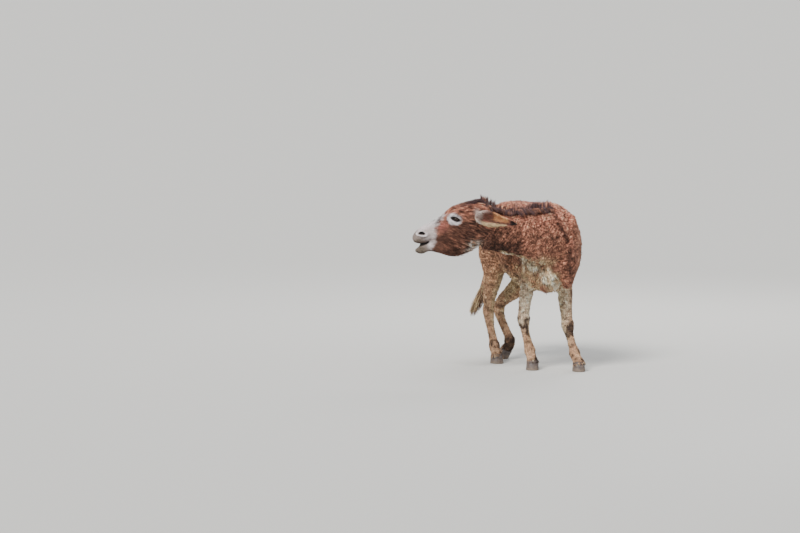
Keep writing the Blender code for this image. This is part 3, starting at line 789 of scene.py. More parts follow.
colours = {                     # linear reds, greens and blues of the hair
    "brown": (0.405, 0.180, 0.118),
    "rosyHighlight": (0.730, 0.285, 0.190),
    "oliveShade": (0.215, 0.108, 0.060),
    "umber": (0.062, 0.028, 0.020),
    "cream": (0.680, 0.500, 0.290),
    "pale": (0.620, 0.500, 0.450),
    "lavender": (0.560, 0.480, 0.470),
    "ring": (0.920, 0.850, 0.870),
    "cheek": (0.400, 0.140, 0.110),
    "leg": (0.620, 0.335, 0.195),
    "legPale": (0.650, 0.420, 0.260),
    "shin": (1.000, 0.780, 0.560),
    "mud": (0.050, 0.029, 0.022),
    "black": (0.014, 0.010, 0.010),
    "mane": (0.092, 0.054, 0.056),
    "grey": (0.250, 0.195, 0.170),
    "lip": (0.150, 0.120, 0.092),
    "orange": (0.940, 0.420, 0.190),
}
colours = {name: np.array(value) for name, value in colours.items()}


class Layers:
    # the colours of points, and named colours laid over them one after another
    def __init__(self, base, where=1.0):
        self.base = base
        self.where = where          # a share that each of them is multiplied by

    def lay(self, name, share):
        share = np.clip(self.where * share, 0, 1)
        self.base = self.base + (colours[name] - self.base) * share[:, None]


# painted shadow down the near shoulder, where it turns into the barrel: height, and its place across the
# front
shoulderShadeRows = [(1.130, 0.110), (1.103, 0.139), (1.047, 0.167), (0.977, 0.209), (0.907, 0.248),
              (0.795, 0.262), (0.606, 0.280)]
# the cream band over the breast: place across the front, height and half width
apronRows = [(-0.215, 0.852, 0.018), (-0.145, 0.816, 0.028), (-0.030, 0.767, 0.046),
             (0.060, 0.715, 0.056), (0.135, 0.665, 0.062), (0.180, 0.590, 0.060)]
# the tawny, streaked hair under that band
tawnyRows = [(-0.150, 0.730, 0.050), (-0.060, 0.680, 0.070), (0.020, 0.630, 0.070)]
# patches of mud at the fore knees: middle and radii
kneeMud = [((0.278, -0.05, 0.292), (0.062, 0.10, 0.090)), ((-0.042, 0.0, 0.303), (0.060, 0.07, 0.026)),
           ((-0.094, 0.0, 0.350), (0.022, 0.07, 0.056)), ((-0.022, -0.02, 0.272), (0.020, 0.06, 0.050))]


def besideRows(x, z, rows):
    # distance, seen from the front, to a line through the rows, as a share of its half width
    nearest = np.full(len(x), 2.0)
    for (x0, z0, r0), (x1, z1, r1) in zip(rows[:-1], rows[1:]):
        along = ((x - x0) * (x1 - x0) + (z - z0) * (z1 - z0)) / ((x1 - x0) ** 2 + (z1 - z0) ** 2)
        along = np.clip(along, 0, 1)
        away = np.hypot(x - x0 - along * (x1 - x0), z - z0 - along * (z1 - z0))
        nearest = np.minimum(nearest, away / (r0 + along * (r1 - r0)))
    return nearest


def markings(points, facing, shares, station, onLeg):
    # colour by place: each line lays one marking over the last
    fine = dapple(points, 0.018, 31)
    broad = dapple(points, 0.075, 32)
    streak = dapple(points * np.array([1.0, 1.0, 2.2]), 0.028, 33)
    x, y, z = (points + middle).T
    downwards = -facing[:, 2]
    trunk = chainPlace(points, chains["trunk"])
    layers = Layers(np.tile(colours["brown"], (len(points), 1)))
    lay = layers.lay
    # painted highlight: the upward faces turn rosy, as if lit from above
    lay("rosyHighlight", ramp(-downwards, 0.05, 0.80) * 0.85 + 0.25 * broad)
    # painted shade: the side and lower faces of the barrel, behind the shoulder, turn olive
    lay("oliveShade", 0.80 * ramp(y, 0.00, 0.12) * ramp(downwards, -0.45, 0.2))
    lay("umber", 0.22 * ramp(streak, 0.05, 0.6))
    # dark hair under the neck, deepened by painted shade on its lower faces
    lay("umber", 0.90 * shares["neck"] * ramp(downwards, -0.25, 0.30) * ramp(-x, -0.02, 0.14))
    lay("leg", 0.55 * onLeg * (y > 0.3) * fall(station, 0.5, 1.2))
    # belly, the streaked hair of the breast and the band over it
    lay("cream", 0.85 * ramp(downwards, 0.25, 0.75) * shares["trunk"] * fall(z, 0.80, 0.95))
    falling = unit(np.array([0.55, 0.0, -0.83]))
    wisps = dapple(points - np.outer(points @ falling, falling) * 0.75, 0.016, 37)
    tawny = fall(besideRows(x, z, tawnyRows) + 0.4 * wisps, 0.5, 1.1)
    tawny = tawny * fall(y, 0.02, 0.12)
    lay("leg", 0.90 * tawny)
    lay("cream", 0.75 * tawny * ramp(wisps, -0.2, 0.3))
    band = besideRows(x, z, apronRows) + 0.70 * wisps + 0.20 * fine
    front = fall(y, -0.06, 0.02) * fall(x, 0.180, 0.225)
    lay("cream", 0.85 * fall(band, 0.50, 1.25) * front)
    lay("shin", 0.80 * fall(band, 0.10, 0.80) * front)
    # a dark stripe along the back, and painted shadow down the near shoulder where it turns into the
    # barrel
    lay("mane", 0.70 * bell(trunk["side"], 0, 0.07) * ramp(trunk["up"], 0.6, 0.9) * shares["trunk"])
    off = x - np.interp(z, *np.array(shoulderShadeRows)[::-1].T) + 0.006 * fine
    lay("umber", 0.90 * bell(off, 0, 0.015) * fall(y, 0.10, 0.16) * ramp(z, 0.60, 0.70))
    # legs: paler and greyer down their length, and cream on the sides that face each other
    legShare = onLeg * ramp(station, 0.5, 1.2)
    lay("leg", legShare * (0.9 + 0.2 * broad))
    lay("legPale", legShare * ramp(station, 1.0, 1.6) * (0.62 + 0.30 * fine))
    lay("shin", 0.28 * legShare * (y < 0.3) * ramp(z, 0.34, 0.40))
    divide = np.where(y > 0.25, -0.16, 0.12)
    inner = np.where(x < divide, facing[:, 0], -facing[:, 0])
    lay("cream", 0.75 * onLeg * ramp(inner, -0.1, 0.7) * ramp(station, 0.3, 1.0)
        * fall(station, 2.2, 2.9))
    # the fronts of the forelegs, facing the camera and the key light, are paler: partly pale hair,
    # partly painted light
    ahead = onLeg * ramp(-facing[:, 1], 0.0, 0.7) * (y < 0.25) * fall(station, 2.1, 2.5)
    lay("shin", ahead * ramp(station, 0.75, 1.05) * (0.75 + 0.25 * fine)
        * np.where(x < 0.12, 1.1, 0.60) * fall(x, 0.255, 0.285))
    # the dark line down the outside of the near forearm, and the chestnut inside the other
    outer = bell(x - 0.285 - 0.05 * (0.60 - z), 0, 0.014) * (y < 0.2)
    lay("umber", 0.7 * outer * onLeg * ramp(0.62 - z, 0.0, 0.05) * ramp(z, 0.34, 0.42)
        * ramp(fine, -0.6, 0.3))
    chestnut = spot(points + middle, (0.014, 0.030, 0.467), (0.020, 0.026, 0.024))
    lay("black", 0.95 * ramp(chestnut, 0.1, 0.35))
    # mud at the knees, hocks and fetlocks and over the hooves, and the tipped hind leg darker from the
    # cannon down
    spots = ramp(dapple(points, 0.021, 41) + 0.6 * dapple(points, 0.010, 42), -0.05, 0.40)
    for centre, radii in kneeMud:
        lay("mud", 0.85 * ramp(spot(points + middle, centre, radii) + 0.36 * spots, 0.26, 0.62) * onLeg)
    knee = np.where(y < 0.3, 0.70, 0.35) * bell(station, 2.02, 0.17)
    low = 0.75 * bell(station, 3.12, 0.22) + 0.75 * ramp(station, 3.35, 3.8)
    lay("mud", onLeg * spots * (knee + low + 0.22 * ramp(station, 1.4, 2.0)))
    # the tipped hind leg darkens all round from the cannon down
    tipped = onLeg * (y > 0.60) * (x > -0.17) * ramp(station, 2.55, 3.0)
    lay("mud", 0.90 * tipped * (0.9 + 0.3 * fine))
    return layers.base


# edge of the pale muzzle: height over the head's axis, and distance from the poll
muzzleRows = [(-0.200, 0.450), (-0.161, 0.436), (-0.115, 0.372), (-0.055, 0.353), (-0.020, 0.315),
              (0.012, 0.268), (0.045, 0.225)]


def headMarkings(base, points, shares):
    along, up, left = headPlace(points)
    wide = np.abs(left)
    onSide = ramp(wide, 0.04, 0.06)
    fine = dapple(points, 0.014, 34)
    streak = dapple(points @ np.column_stack([toMuzzle * 0.45, toBrow, toLeft]), 0.013, 35)
    layers = Layers(base, headShare(shares) * ramp(along, -0.01, 0.03))
    lay = layers.lay
    lay("umber", 0.60 * ramp(streak, -0.1, 0.45))
    # the forehead darkens towards the forelock, and the cheek and jaw are darker than it
    lay("mane", 0.85 * ramp(up, -0.015, 0.030) * fall(along, 0.12, 0.22) * ramp(streak, -0.75, 0.05))
    lay("umber", 0.72 * ramp(-up, 0.045, 0.110))
    lay("umber", 0.35 * bell(along, 0.10, 0.05) * ramp(wide, 0.05, 0.08))
    # reddish patch between the muzzle and the eye
    lay("cheek", 0.95 * bell(along, 0.297, 0.050) * bell(up, -0.043, 0.034) * (0.85 + 0.3 * fine))
    # pale muzzle, whose edge runs up the bridge of the nose; painted shade greys its front, and its chin
    # is grey
    edge = np.interp(up, *np.array(muzzleRows).T) + 0.016 * fine + 0.016 * streak
    muzzle = ramp(along - edge, -0.022, 0.026)
    lay("lavender", muzzle)
    lay("grey", 0.90 * muzzle * ramp(along + 0.015 * fine, 0.430, 0.480))
    lay("grey", 0.90 * muzzle * ramp(-up, 0.062, 0.096) * ramp(along, 0.40, 0.46))
    # painted shade under the nostril, over the upper lip
    lay("umber", 0.72 * bell(up, -0.064, 0.010) * bell(along, 0.432, 0.034))
    bridge = bell(up - 0.003 + 0.46 * (along - 0.300), 0, 0.013) * bell(along, 0.302, 0.034)
    lay("umber", 0.75 * ramp(bridge + 0.25 * streak, 0.25, 0.8))
    # painted highlight: the top of the muzzle whitens, less over the dark bridge
    top = ramp(up, -0.03, 0.01) * fall(along, 0.45, 0.49) * (1 - 0.8 * bridge)
    lay("ring", 0.70 * muzzle * top)
    lay("ring", 0.50 * muzzle * bell(along, 0.425, 0.02) * ramp(-up, 0.06, 0.11))
    lay("lip", 0.75 * ramp(along, 0.455, 0.492) * ramp(-up, 0.045, 0.066))
    lay("lip", 0.80 * ramp(along, 0.450, 0.505) * ramp(-up, 0.116, 0.135))
    lay("umber", 0.70 * ramp(along, 0.39, 0.43) * ramp(-up, 0.150, 0.170))
    lay("umber", 0.50 * muzzle * ramp(streak, 0.1, 0.6) * ramp(-up, 0.05, 0.12))
    # white round the eye, longest above and towards the muzzle; dark lids inside it, which
    # run on into the tear corner
    x, y = turned(along, up, eye)
    ring = np.hypot((x - 0.008) / np.where(x > 0.008, 0.058, 0.045),
                    (y + 0.003) / np.where(y > 0, 0.040, 0.046))
    lay("ring", fall(ring + 0.16 * fine + 0.16 * streak, 0.72, 1.12) * onSide)
    lid = np.hypot((x - 0.003) / (eye["halfLong"] + 0.013),
                   (y - 0.001 - 0.08 * x) / (eye["halfHigh"] + 0.0075))
    lay("black", fall(lid, 0.80, 1.15) * onSide)
    # painted shade along the fold over the upper lid
    crease = bell(y + 5.0 * (x + 0.004) ** 2, 0.027, 0.0024) * (np.abs(x) < 0.034)
    lay("umber", 0.50 * crease * onSide)
    # painted shade, black, inside the nostril's hollow with a light rim, and the line of the mouth, with
    # painted shade, black, in the slit between the lips
    hole = nostrilReach(along, up)
    beside = ramp(wide, 0.012, 0.026)
    lay("ring", 0.8 * bell(hole, 1.35, 0.30) * beside)
    lay("black", fall(hole, 0.72, 1.02) * beside)
    level = lipLine(along)
    lay("umber", 0.70 * bell(up - level, 0.012, 0.012) * ramp(along, 0.385, 0.410))
    gape = 0.0050 + 0.10 * np.clip(along - 0.44, 0, 0.05)
    slit = fall(np.abs(up - level), gape, gape + 0.005)
    lay("black", slit * ramp(along, 0.418, 0.432))
    # cream streaks under the throat and behind the jaw, and a pale patch where the ear springs
    layers.where = 1.0
    throat = bell(along, 0.172, 0.046) * bell(up, -0.250, 0.036)
    lay("cream", 1.1 * throat * ramp(streak, -0.6, 0.1))
    lay("ring", 0.80 * throat * ramp(streak, -0.3, 0.2))
    earRoot = bell(along, 0.038, 0.022) * bell(up, -0.058, 0.040) * ramp(wide, 0.05, 0.08)
    lay("pale", 0.85 * earRoot * ramp(streak, -0.9, -0.1))
    return layers.base


def coatColour(points, facing, shares, station, onLeg):
    base = markings(points, facing, shares, station, onLeg)
    return np.clip(headMarkings(base, points, shares), 0.004, 0.95)


skinColour = coatColour(skinPoints, skinFacing, skinShares, skinStation, skinOnLeg)
skinLie = coatLie(skinPoints, skinFacing, skinShares)
paint(skin.data, skinColour)
print("markings laid")


class Wire:
    # one socket of a material, which takes part in Python sums
    def __init__(self, finish, socket):
        self.finish = finish
        self.socket = socket

    def join(self, operation, first, second):
        return self.finish.node("ShaderNodeMath", {"operation": operation}, {0: first, 1: second})

    def __add__(self, other):
        return self.join("ADD", self, other)

    def __radd__(self, other):
        return self.join("ADD", other, self)

    def __sub__(self, other):
        return self.join("SUBTRACT", self, other)

    def __rsub__(self, other):
        return self.join("SUBTRACT", other, self)

    def __mul__(self, other):
        return self.join("MULTIPLY", self, other)

    def __rmul__(self, other):
        return self.join("MULTIPLY", other, self)

    def __pow__(self, other):
        return self.join("POWER", self, other)


class Finish:
    # a material and the few ways of adding nodes to it
    def __init__(self, name, roughness=0.6, **constants):
        self.material = bpy.data.materials.new(name)
        self.material.use_nodes = True
        self.tree = self.material.node_tree
        self.shader = self.tree.nodes["Principled BSDF"]
        self.shader.inputs["Roughness"].default_value = roughness
        for socket, value in constants.items():
            self.shader.inputs[socket.replace("_", " ")].default_value = value

    def node(self, kind, settings=None, sockets=None, output=0):
        made = self.tree.nodes.new(kind)
        for key, value in (settings or {}).items():
            setattr(made, key, value)
        for key, value in (sockets or {}).items():
            self.put(made.inputs[key], value)
        return Wire(self, made.outputs[output])

    def put(self, socket, value):
        if isinstance(value, Wire):
            self.tree.links.new(value.socket, socket)
        else:
            socket.default_value = value

    def places(self):
        return self.node("ShaderNodeTexCoord", output="Object")

    def noise(self, scale, detail=2.0, where=None, roughness=0.5):
        where = where or self.places()
        return self.node("ShaderNodeTexNoise", None,
                         {"Vector": where, "Scale": scale, "Detail": detail, "Roughness": roughness})

    def attribute(self, name, output="Color"):
        return self.node("ShaderNodeAttribute", {"attribute_name": name}, output=output)

    def stretched(self, scale):
        return self.node("ShaderNodeVectorMath", {"operation": "MULTIPLY"}, {0: self.places(), 1: scale})

    def part(self, vector, axis):
        return self.node("ShaderNodeSeparateXYZ", None, {0: vector}, output=axis)

    def between(self, value, low, high):
        return self.node("ShaderNodeMapRange", {"interpolation_type": "SMOOTHSTEP"},
                         {"Value": value, "From Min": low, "From Max": high})

    def mix(self, factor, first, second, blend="MIX"):
        return self.node("ShaderNodeMix", {"data_type": "RGBA", "blend_type": blend},
                         {0: factor, 6: first, 7: second}, output=2)

    def colour(self, value):
        self.put(self.shader.inputs["Base Color"], value)

    def bump(self, height, strength, distance):
        made = self.node("ShaderNodeBump", None,
                         {"Height": height, "Strength": strength, "Distance": distance})
        self.put(self.shader.inputs["Normal"], made)


def shade(value):
    # the colour of a plain grey, for multiplying
    return (value, value, value, 1.0)


def skinFinish():
    # hide under short hair: the markings, broken up by fine streaks and flecks
    made = Finish("donkey_hide", roughness=0.78, Specular_IOR_Level=0.25)
    base = made.attribute("coat")
    fleck = made.noise(420.0, 3.0, roughness=0.6)
    streak = made.noise(130.0, 3.0, where=made.stretched((1.0, 1.0, 0.35)))
    darker = made.between(fleck * 0.6 + streak * 0.4, 0.36, 0.60)
    made.colour(made.mix(darker, made.mix(1.0, base, shade(0.62), "MULTIPLY"), base))
    made.bump(fleck * 0.4 + streak * 0.6, 0.55, 0.0025)
    return made.material


def coatFinish(name, roughness=0.62, crimped=False):
    # tufts: the markings carried on each tuft, with painted shade at the root and a painted highlight at
    # the tip; the body's coat also carries the painted highlight and shade of its crimp, in light and
    # dark dashes at the places that the tufts carry
    made = Finish(name, roughness=roughness, Specular_IOR_Level=0.22)
    base = made.attribute("coat")
    if crimped:
        # painted highlight and shade of the crimp: dark dashes, plain coat, bright dashes
        dashes = made.noise(0.95, 1.0, where=made.attribute("crimp", "Vector"))
        lit = made.mix(made.between(dashes, 0.36, 0.62), shade(0.46), shade(1.30))
        lit = made.mix(made.between(dashes, 0.56, 0.76), lit, (2.30, 2.20, 2.05, 1.0))
        lit = made.mix(made.attribute("coat", "Alpha"), shade(1.0), lit)
        base = made.mix(1.0, base, lit, "MULTIPLY")
        base.socket.node.clamp_result = True
    strand = made.noise(900.0, 1.0)
    made.colour(made.mix(made.between(strand, 0.30, 0.62),
                         made.mix(1.0, base, shade(0.72), "MULTIPLY"), base))
    return made.material


hide = skinFinish()
hair = coatFinish("donkey_hair")
crimpShadedHair = coatFinish("donkey_crimp_shaded_hair", crimped=True)
longHair = coatFinish("donkey_long_hair", roughness=0.5)
skin.data.materials.clear()
skin.data.materials.append(hide)


coat = {
    "seed": 41,
    "pieceLimit": 190000,       # triangles of a piece, past which a chain's coat is parted
    "share": 1.0,        # of all tufts
    "rings": 2,                 # of each tuft, under its tip
    "clumpCell": 0.015,
    "clumpPull": 0.60,
    "stray": 0.09,              # share of tufts that stand out of the coat
    "patch": 0.0030,            # of the baked map, across each tuft
}


def coatSizes():
    # length, width and closeness of the tufts at each point of the skin
    along, up = headPlace(skinPoints)[:2]
    onHeadShare = headShare(skinShares)
    length, width, close = (perPoint(skinShares, column) for column in (1, 2, 3))
    face = onHeadShare * ramp(along, 0.10, 0.40)
    length *= 1 - 0.62 * face
    width *= 1 - 0.35 * face
    low = onHeadShare * ramp(-up, 0.12, 0.20) * fall(along, 0.36, 0.42)
    length *= 1 + 0.75 * low
    x, y = turned(along, up, eye)
    lids = np.sqrt((x / (eye["halfLong"] + 0.004)) ** 2 + (y / (eye["halfHigh"] + 0.004)) ** 2)
    close = close * ramp(lids, 0.95, 1.1)
    length *= 1 - 0.5 * onHeadShare * fall(lids, 1.2, 2.6)
    hole = nostrilReach(along, up, bend=0.0)
    close = close * np.where(onHeadShare > 0.5, ramp(hole, 0.95, 1.2), 1.0)
    gap = np.abs(up - lipLine(along))
    close = close * np.where((along > 0.42) & (onHeadShare > 0.5), ramp(gap, 0.004, 0.009), 1.0)
    breast = spot(skinPoints + middle, (0.120, -0.150, 0.640), (0.190, 0.170, 0.170))
    length *= 1 + 0.7 * breast
    # the ears lie on the neck, where little hair stands under them
    for hand in ears:
        share, gap = fromEar(skinPoints, hand)
        close = close * np.where(share > 0.12, ramp(gap, 0.038, 0.058), ramp(gap, 0.010, 0.018))
        length *= 0.45 + 0.55 * ramp(gap, 0.050, 0.085)
    lower = skinOnLeg * ramp(skinStation, 1.2, 2.4)
    length *= 1 - 0.36 * lower + 0.75 * skinOnLeg * ramp(skinStation, 3.5, 3.9)
    close = close * (1 - (skinOnLeg > 0.3) * ramp(skinStation, 3.98, 4.08))
    width *= 1 - 0.25 * lower
    return length, width, close


def scatter(faces, points, close, rng, share):
    # places on the triangles, as many as their area and closeness call for, evenly spread
    # along the running total of what is due
    a, b, c = (points[faces[:, i]] for i in range(3))
    area = np.linalg.norm(np.cross(b - a, c - a), axis=1) / 2
    due = np.cumsum(area * close[faces].mean(1) * share)
    count = int(due[-1])
    at = (np.arange(count) + rng.random(count)) / count * due[-1]
    face = np.clip(np.searchsorted(due, at), 0, len(faces) - 1)
    r, q = rng.random(count), rng.random(count)
    flip = r + q > 1
    r, q = np.where(flip, 1 - r, r), np.where(flip, 1 - q, q)
    weights = np.column_stack([1 - r - q, r, q])
    return face, weights


def carried(values, faces, face, weights):
    # a number or a vector of the corners, brought to a place on the triangle
    corners = values[faces[face]]
    return (corners * (weights if corners.ndim == 2 else weights[:, :, None])).sum(1)


def threeSided(count, rings):
    # the faces of so many blades, each of rings of three points that end in one tip
    per = 3 * rings + 1
    blade = [(0, 1, 2)]
    for low in range(0, per - 4, 3):
        for i, j in ((0, 1), (1, 2), (2, 0)):
            blade += [(low + i, low + 3 + i, low + 3 + j), (low + i, low + 3 + j, low + j)]
    blade += [(per - 4 + i, per - 1, per - 4 + (i + 1) % 3) for i in range(3)]
    return (np.arange(count)[:, None, None] * per + np.array(blade)).reshape(-1, 3)


def growTufts(root, facing, way, length, width, lift, tint, rng, clump, pull, even):
    # each tuft is a three-sided blade: its spine leaves the root along the lie of the coat
    # and bends as (1-t)^2 base + 2t(1-t) knee + t^2 tip, its ring of three points is widest
    # near the middle, and tips are drawn towards the middle of their clump
    count, rings = len(root), coat["rings"]
    side = unit(np.cross(facing, way))
    swing = (rng.random(count) - 0.5) * 0.80
    tip = moved(root, (moved(way, (side, swing)), length * 0.96),
                (facing, lift * (0.35 + 0.75 * rng.random(count))))
    index = np.unique(clump, axis=0, return_inverse=True)[1].ravel()
    size = np.bincount(index)
    centre = np.column_stack([np.bincount(index, tip[:, i]) / size for i in range(3)])
    tip += (centre[index] - tip) * (pull * (0.6 + 0.4 * rng.random(count)))[:, None]
    base = root - facing * 0.0015
    knee = moved((root + tip) / 2, (facing, lift * 0.62))
    points, paintedShade = [], []
    for k in range(rings):
        t = k / rings
        spine = (1 - t) ** 2 * base + 2 * t * (1 - t) * knee + t * t * tip
        half = (width * (0.34 + 0.66 * math.sin(math.pi * (0.18 + 0.62 * t))) * 0.5)[:, None]
        points += [spine + side * half, spine + facing * half * 0.75, spine - side * half]
        # painted shade at the root, rising to a painted highlight at the tip
        paintedShade += [0.36 + 0.86 * t] * 3
    points = np.stack(points + [tip], axis=1)
    # `even` takes away the painted shade of the root and the painted highlight of the tip
    even = (np.zeros(count) + even)[:, None]
    paintedShade = np.array(paintedShade + [1.32])[None, :] * (1 - even) + even
    return points, paintedShade[:, :, None] * tint[:, None, :]


def bakedMap(target, placeOnMap, rings):
    # OFBake: each tuft is a small patch at its root's place on the unwrap, its own length
    # up the patch and its own width across it
    local = [(across, k / rings - 0.5) for k in range(rings) for across in (-0.5, 0.0, 0.5)]
    local = np.array(local + [(0.0, 0.5)]) * coat["patch"]
    uv = np.clip((placeOnMap[:, None, :] + local[None]).reshape(-1, 2), 0.001, 0.999)
    layer = target.data.uv_layers.new(name="OFBake")
    corner = gathered(target.data.loops, "vertex_index", 1, np.int32)[:, 0]
    layer.data.foreach_set("uv", uv[corner].astype(np.float32).ravel())


def hairPiece(name, material, points, light, faces, placeOnMap, rings, force=None):
    # blades as one mesh, with their colours and their map
    made = addMesh(name, points.reshape(-1, 3), faces)
    paint(made.data, np.clip(light.reshape(-1, 3), 0.002, 0.95), force)
    bakedMap(made, placeOnMap, rings)
    made.data.materials.append(material)
    return made


def coatPiece(name, material, root, facing, way, length, width, lift, tint, placeOnMap, rng,
              pull, even=0.0, force=1.0, swatch=None):
    warp = np.column_stack([dapple(root, 0.03, s) for s in (51, 52, 53)]) * 0.010
    clump = np.floor((root + warp) / coat["clumpCell"]).astype(int)
    points, light = growTufts(root, facing, way, length, width, lift, tint, rng, clump, pull, even)
    points[..., 2] = np.maximum(points[..., 2], 0.0015)
    count, per = points.shape[:2]
    made = hairPiece(name, material, points, light, threeSided(count, coat["rings"]), placeOnMap,
                     coat["rings"], np.repeat(np.zeros(count) + force, per))
    if swatch is not None:
        carry(made.data, "crimp", inPattern(points, swatch))
    return made


def chainMap(points, name):
    # the unwrap of a chain: the turn round it across, the share of its length upwards, made
    # finer than a station by the offset along the chain's own way
    chain = chains[name]
    found = chainPlace(points, chain)
    centre, station = chain["centre"], found["station"]
    whole = np.linalg.norm(np.diff(centre, axis=0), axis=1).sum()
    along = dot(points - centre[station], chain["way"][station]) / whole
    return np.column_stack([0.01 + 0.98 * found["turn"],
                            np.clip(0.02 + 0.96 * (found["share"] + along), 0.01, 0.99)])


grain = {
    "across": 0.0078,           # the coat's crimp along its lie, and its reach to each side
    "aside": 0.030,
    "strand": 0.0095,           # on the head: width of a streak, and its length
    "strandLong": 0.044,
    "swatch": 0.11,
    "contrast": 0.42,
    "chance": 0.34,
}


def swatches(points, facing, way, owner):
    # the coat is taken in swatches, each with the mean of its lie; the pattern of the crimped
    # coat is laid out along that and across it, in cells that are short along the lie and
    # long across it, or the other way about on the head
    warp = np.column_stack([dapple(points, 0.06, s) for s in (61, 62, 63)]) * 0.030
    cells = np.floor((points + warp) / grain["swatch"]).astype(int)
    index = np.unique(cells, axis=0, return_inverse=True)[1].ravel()
    count = np.bincount(index)
    mean = lambda values: np.column_stack([np.bincount(index, values[:, i]) / count for i in range(3)])
    lie = unit(mean(way))
    aside = unit(np.cross(mean(facing), lie))
    onHead = (owner == chainNames.index("head")) | (owner == chainNames.index("jaw"))
    long = np.where(onHead, grain["strandLong"], grain["across"])
    wide = np.where(onHead, grain["strand"], grain["aside"])
    return {"lie": lie[index], "aside": aside[index], "long": long, "wide": wide,
            "start": 3.7 * index}


def inPattern(points, swatch):
    # the corners of each tuft, in cells of the pattern
    along = dot(points, swatch["lie"][:, None]) / swatch["long"][:, None]
    across = dot(points, swatch["aside"][:, None]) / swatch["wide"][:, None]
    start = np.repeat(swatch["start"][:, None], points.shape[1], axis=1)
    return np.stack([along, across, start], axis=-1)


def growCoat():
    rng = np.random.default_rng(coat["seed"])
    length, width, close = coatSizes()
    face, weights = scatter(skinTriangles, skinPoints, close, rng, coat["share"])
    take = lambda values: carried(values, skinTriangles, face, weights)
    root, facing, way = take(skinPoints), unit(take(skinFacing)), take(skinLie)
    way = laidFlat(way, facing)
    length, width, depth = take(length), take(width), take(skinDepth)
    tint = take(skinColour)
    shares = np.column_stack([take(skinShares[name]) for name in chainNames])
    owner = shares.argmax(1)
    count = len(root)
    onHeadShare = headShare({name: take(skinShares[name]) for name in ("head", "jaw")})
    along, up = headPlace(root)[:2]
    onFace = onHeadShare * ramp(along, 0.34, 0.42)
    short = onHeadShare * ramp(0.016 - length, 0.000, 0.006)
    swatch = swatches(root, facing, way, owner)
    middleOfTuft = moved(root, (way, 0.7 * length))[:, None]
    crimp = 1.9 * dapple(inPattern(middleOfTuft, swatch)[:, 0], 1.0, 64) * (1 - 0.75 * onFace)
    length = length * (0.74 + 0.46 * rng.random(count)) * (1 + 0.10 * crimp)
    width = width * (0.70 + 0.6 * rng.random(count))
    lift = depth * np.clip(0.50 + 0.30 * rng.random(count) + 0.45 * crimp, 0.12, 1.6)
    stray = rng.random(count) < coat["stray"] * (1 - onFace)
    lift = np.where(stray, depth * (1.0 + 0.7 * rng.random(count)), lift)
    coronet = take(skinOnLeg) * ramp(take(skinStation), 3.5, 3.85)
    lift = lift * (1 + 2.2 * coronet * rng.random(count))
    beard = onHeadShare * ramp(-up, 0.17, 0.24) * fall(along, 0.38, 0.44)
    lift = lift * (1 + 1.3 * beard * rng.random(count))
    chance = rng.normal(size=count)
    # lightness: the painted highlight and shade of the crimp, and a random tone from tuft to tuft
    lightness = np.exp(grain["contrast"] * crimp + grain["chance"] * chance * (1 - 0.85 * onFace))
    tint = tint * np.clip(lightness, 0.25, 2.1)[:, None]
    force = (1 - 0.85 * onFace) * (1 - 0.60 * take(skinOnLeg) * ramp(take(skinStation), 0.6, 1.4))
    force = force * (1 - 0.7 * spot(root + middle, (0.080, -0.170, 0.690), (0.26, 0.22, 0.20)))
    made = []
    for index, name in enumerate(chainNames):
        mine = np.flatnonzero(owner == index)
        if not len(mine):
            continue
        onMap = chainMap(root[mine], name)
        parts = math.ceil(len(mine) * len(threeSided(1, coat["rings"])) / coat["pieceLimit"])
        order = np.argsort(onMap[:, 1], kind="stable")
        for part, chosen in enumerate(np.array_split(order, parts)):
            at = mine[chosen]
            label = "coat_" + name + ("_" + str(part + 1) if parts > 1 else "")
            made.append(coatPiece(label, crimpShadedHair, root[at], facing[at], way[at], length[at],
                                  width[at], lift[at], tint[at], onMap[chosen], rng,
                                  pull=coat["clumpPull"] * (1 - 0.9 * short[at]),
                                  even=0.9 * short[at], force=force[at],
                                  swatch={key: value[at] for key, value in swatch.items()}))
    return made


coatPieces = growCoat()
print("coat grown:", sum(len(o.data.polygons) for o in coatPieces), "triangles in",
      len(coatPieces), "pieces")


handName = {1: "left", -1: "right"}


def eyeAxes(hand):
    # middle of the eye's globe, and the ways along the opening, across it and out of it
    c, s = math.cos(eye["tilt"]), math.sin(eye["tilt"])
    centre = inHead(eye["along"], eye["up"], hand * (eye["left"] - eye["sunk"]))
    return centre, toMuzzle * c + toBrow * s, toBrow * c - toMuzzle * s, toLeft * hand


def eyeball(hand):
    # a globe whose front bulges as a cornea: its radius grows by a fall of the angle from
    # the axis; the polar axis looks outwards
    polar, around = np.meshgrid(np.linspace(0, math.pi, 40)[1:-1],
                                circle(48), indexing="ij")
    out = unit(toLeft * hand * 0.93 + toMuzzle * 0.30 + toBrow * 0.12)
    first = unit(np.cross(out, toBrow))
    second = np.cross(out, first)
    reach = eye["radius"] * (eye["white"] + eye["cornea"] * bell(polar, 0, 0.50))
    ball = (out * (np.cos(polar) * reach)[..., None]
            + first * (np.sin(polar) * np.cos(around) * reach)[..., None]
            + second * (np.sin(polar) * np.sin(around) * reach)[..., None])
    centre = eyeAxes(hand)[0]
    points, faces = closedLoft(ball + centre)
    # the point at each end is the mean of its ring, so it is pushed out to the globe
    points[-2] = centre + out * eye["radius"] * (eye["white"] + eye["cornea"])
    points[-1] = centre - out * eye["radius"] * eye["white"]
    made = addMesh(handName[hand] + "_eyeball", points, faces)
    faceOutwards(made)
    away = points - centre
    carry(made.data, "look", np.stack([away @ first, away @ second, away @ out], axis=1) / eye["radius"])
    made.data.materials.append(eyeGlass)
    return made


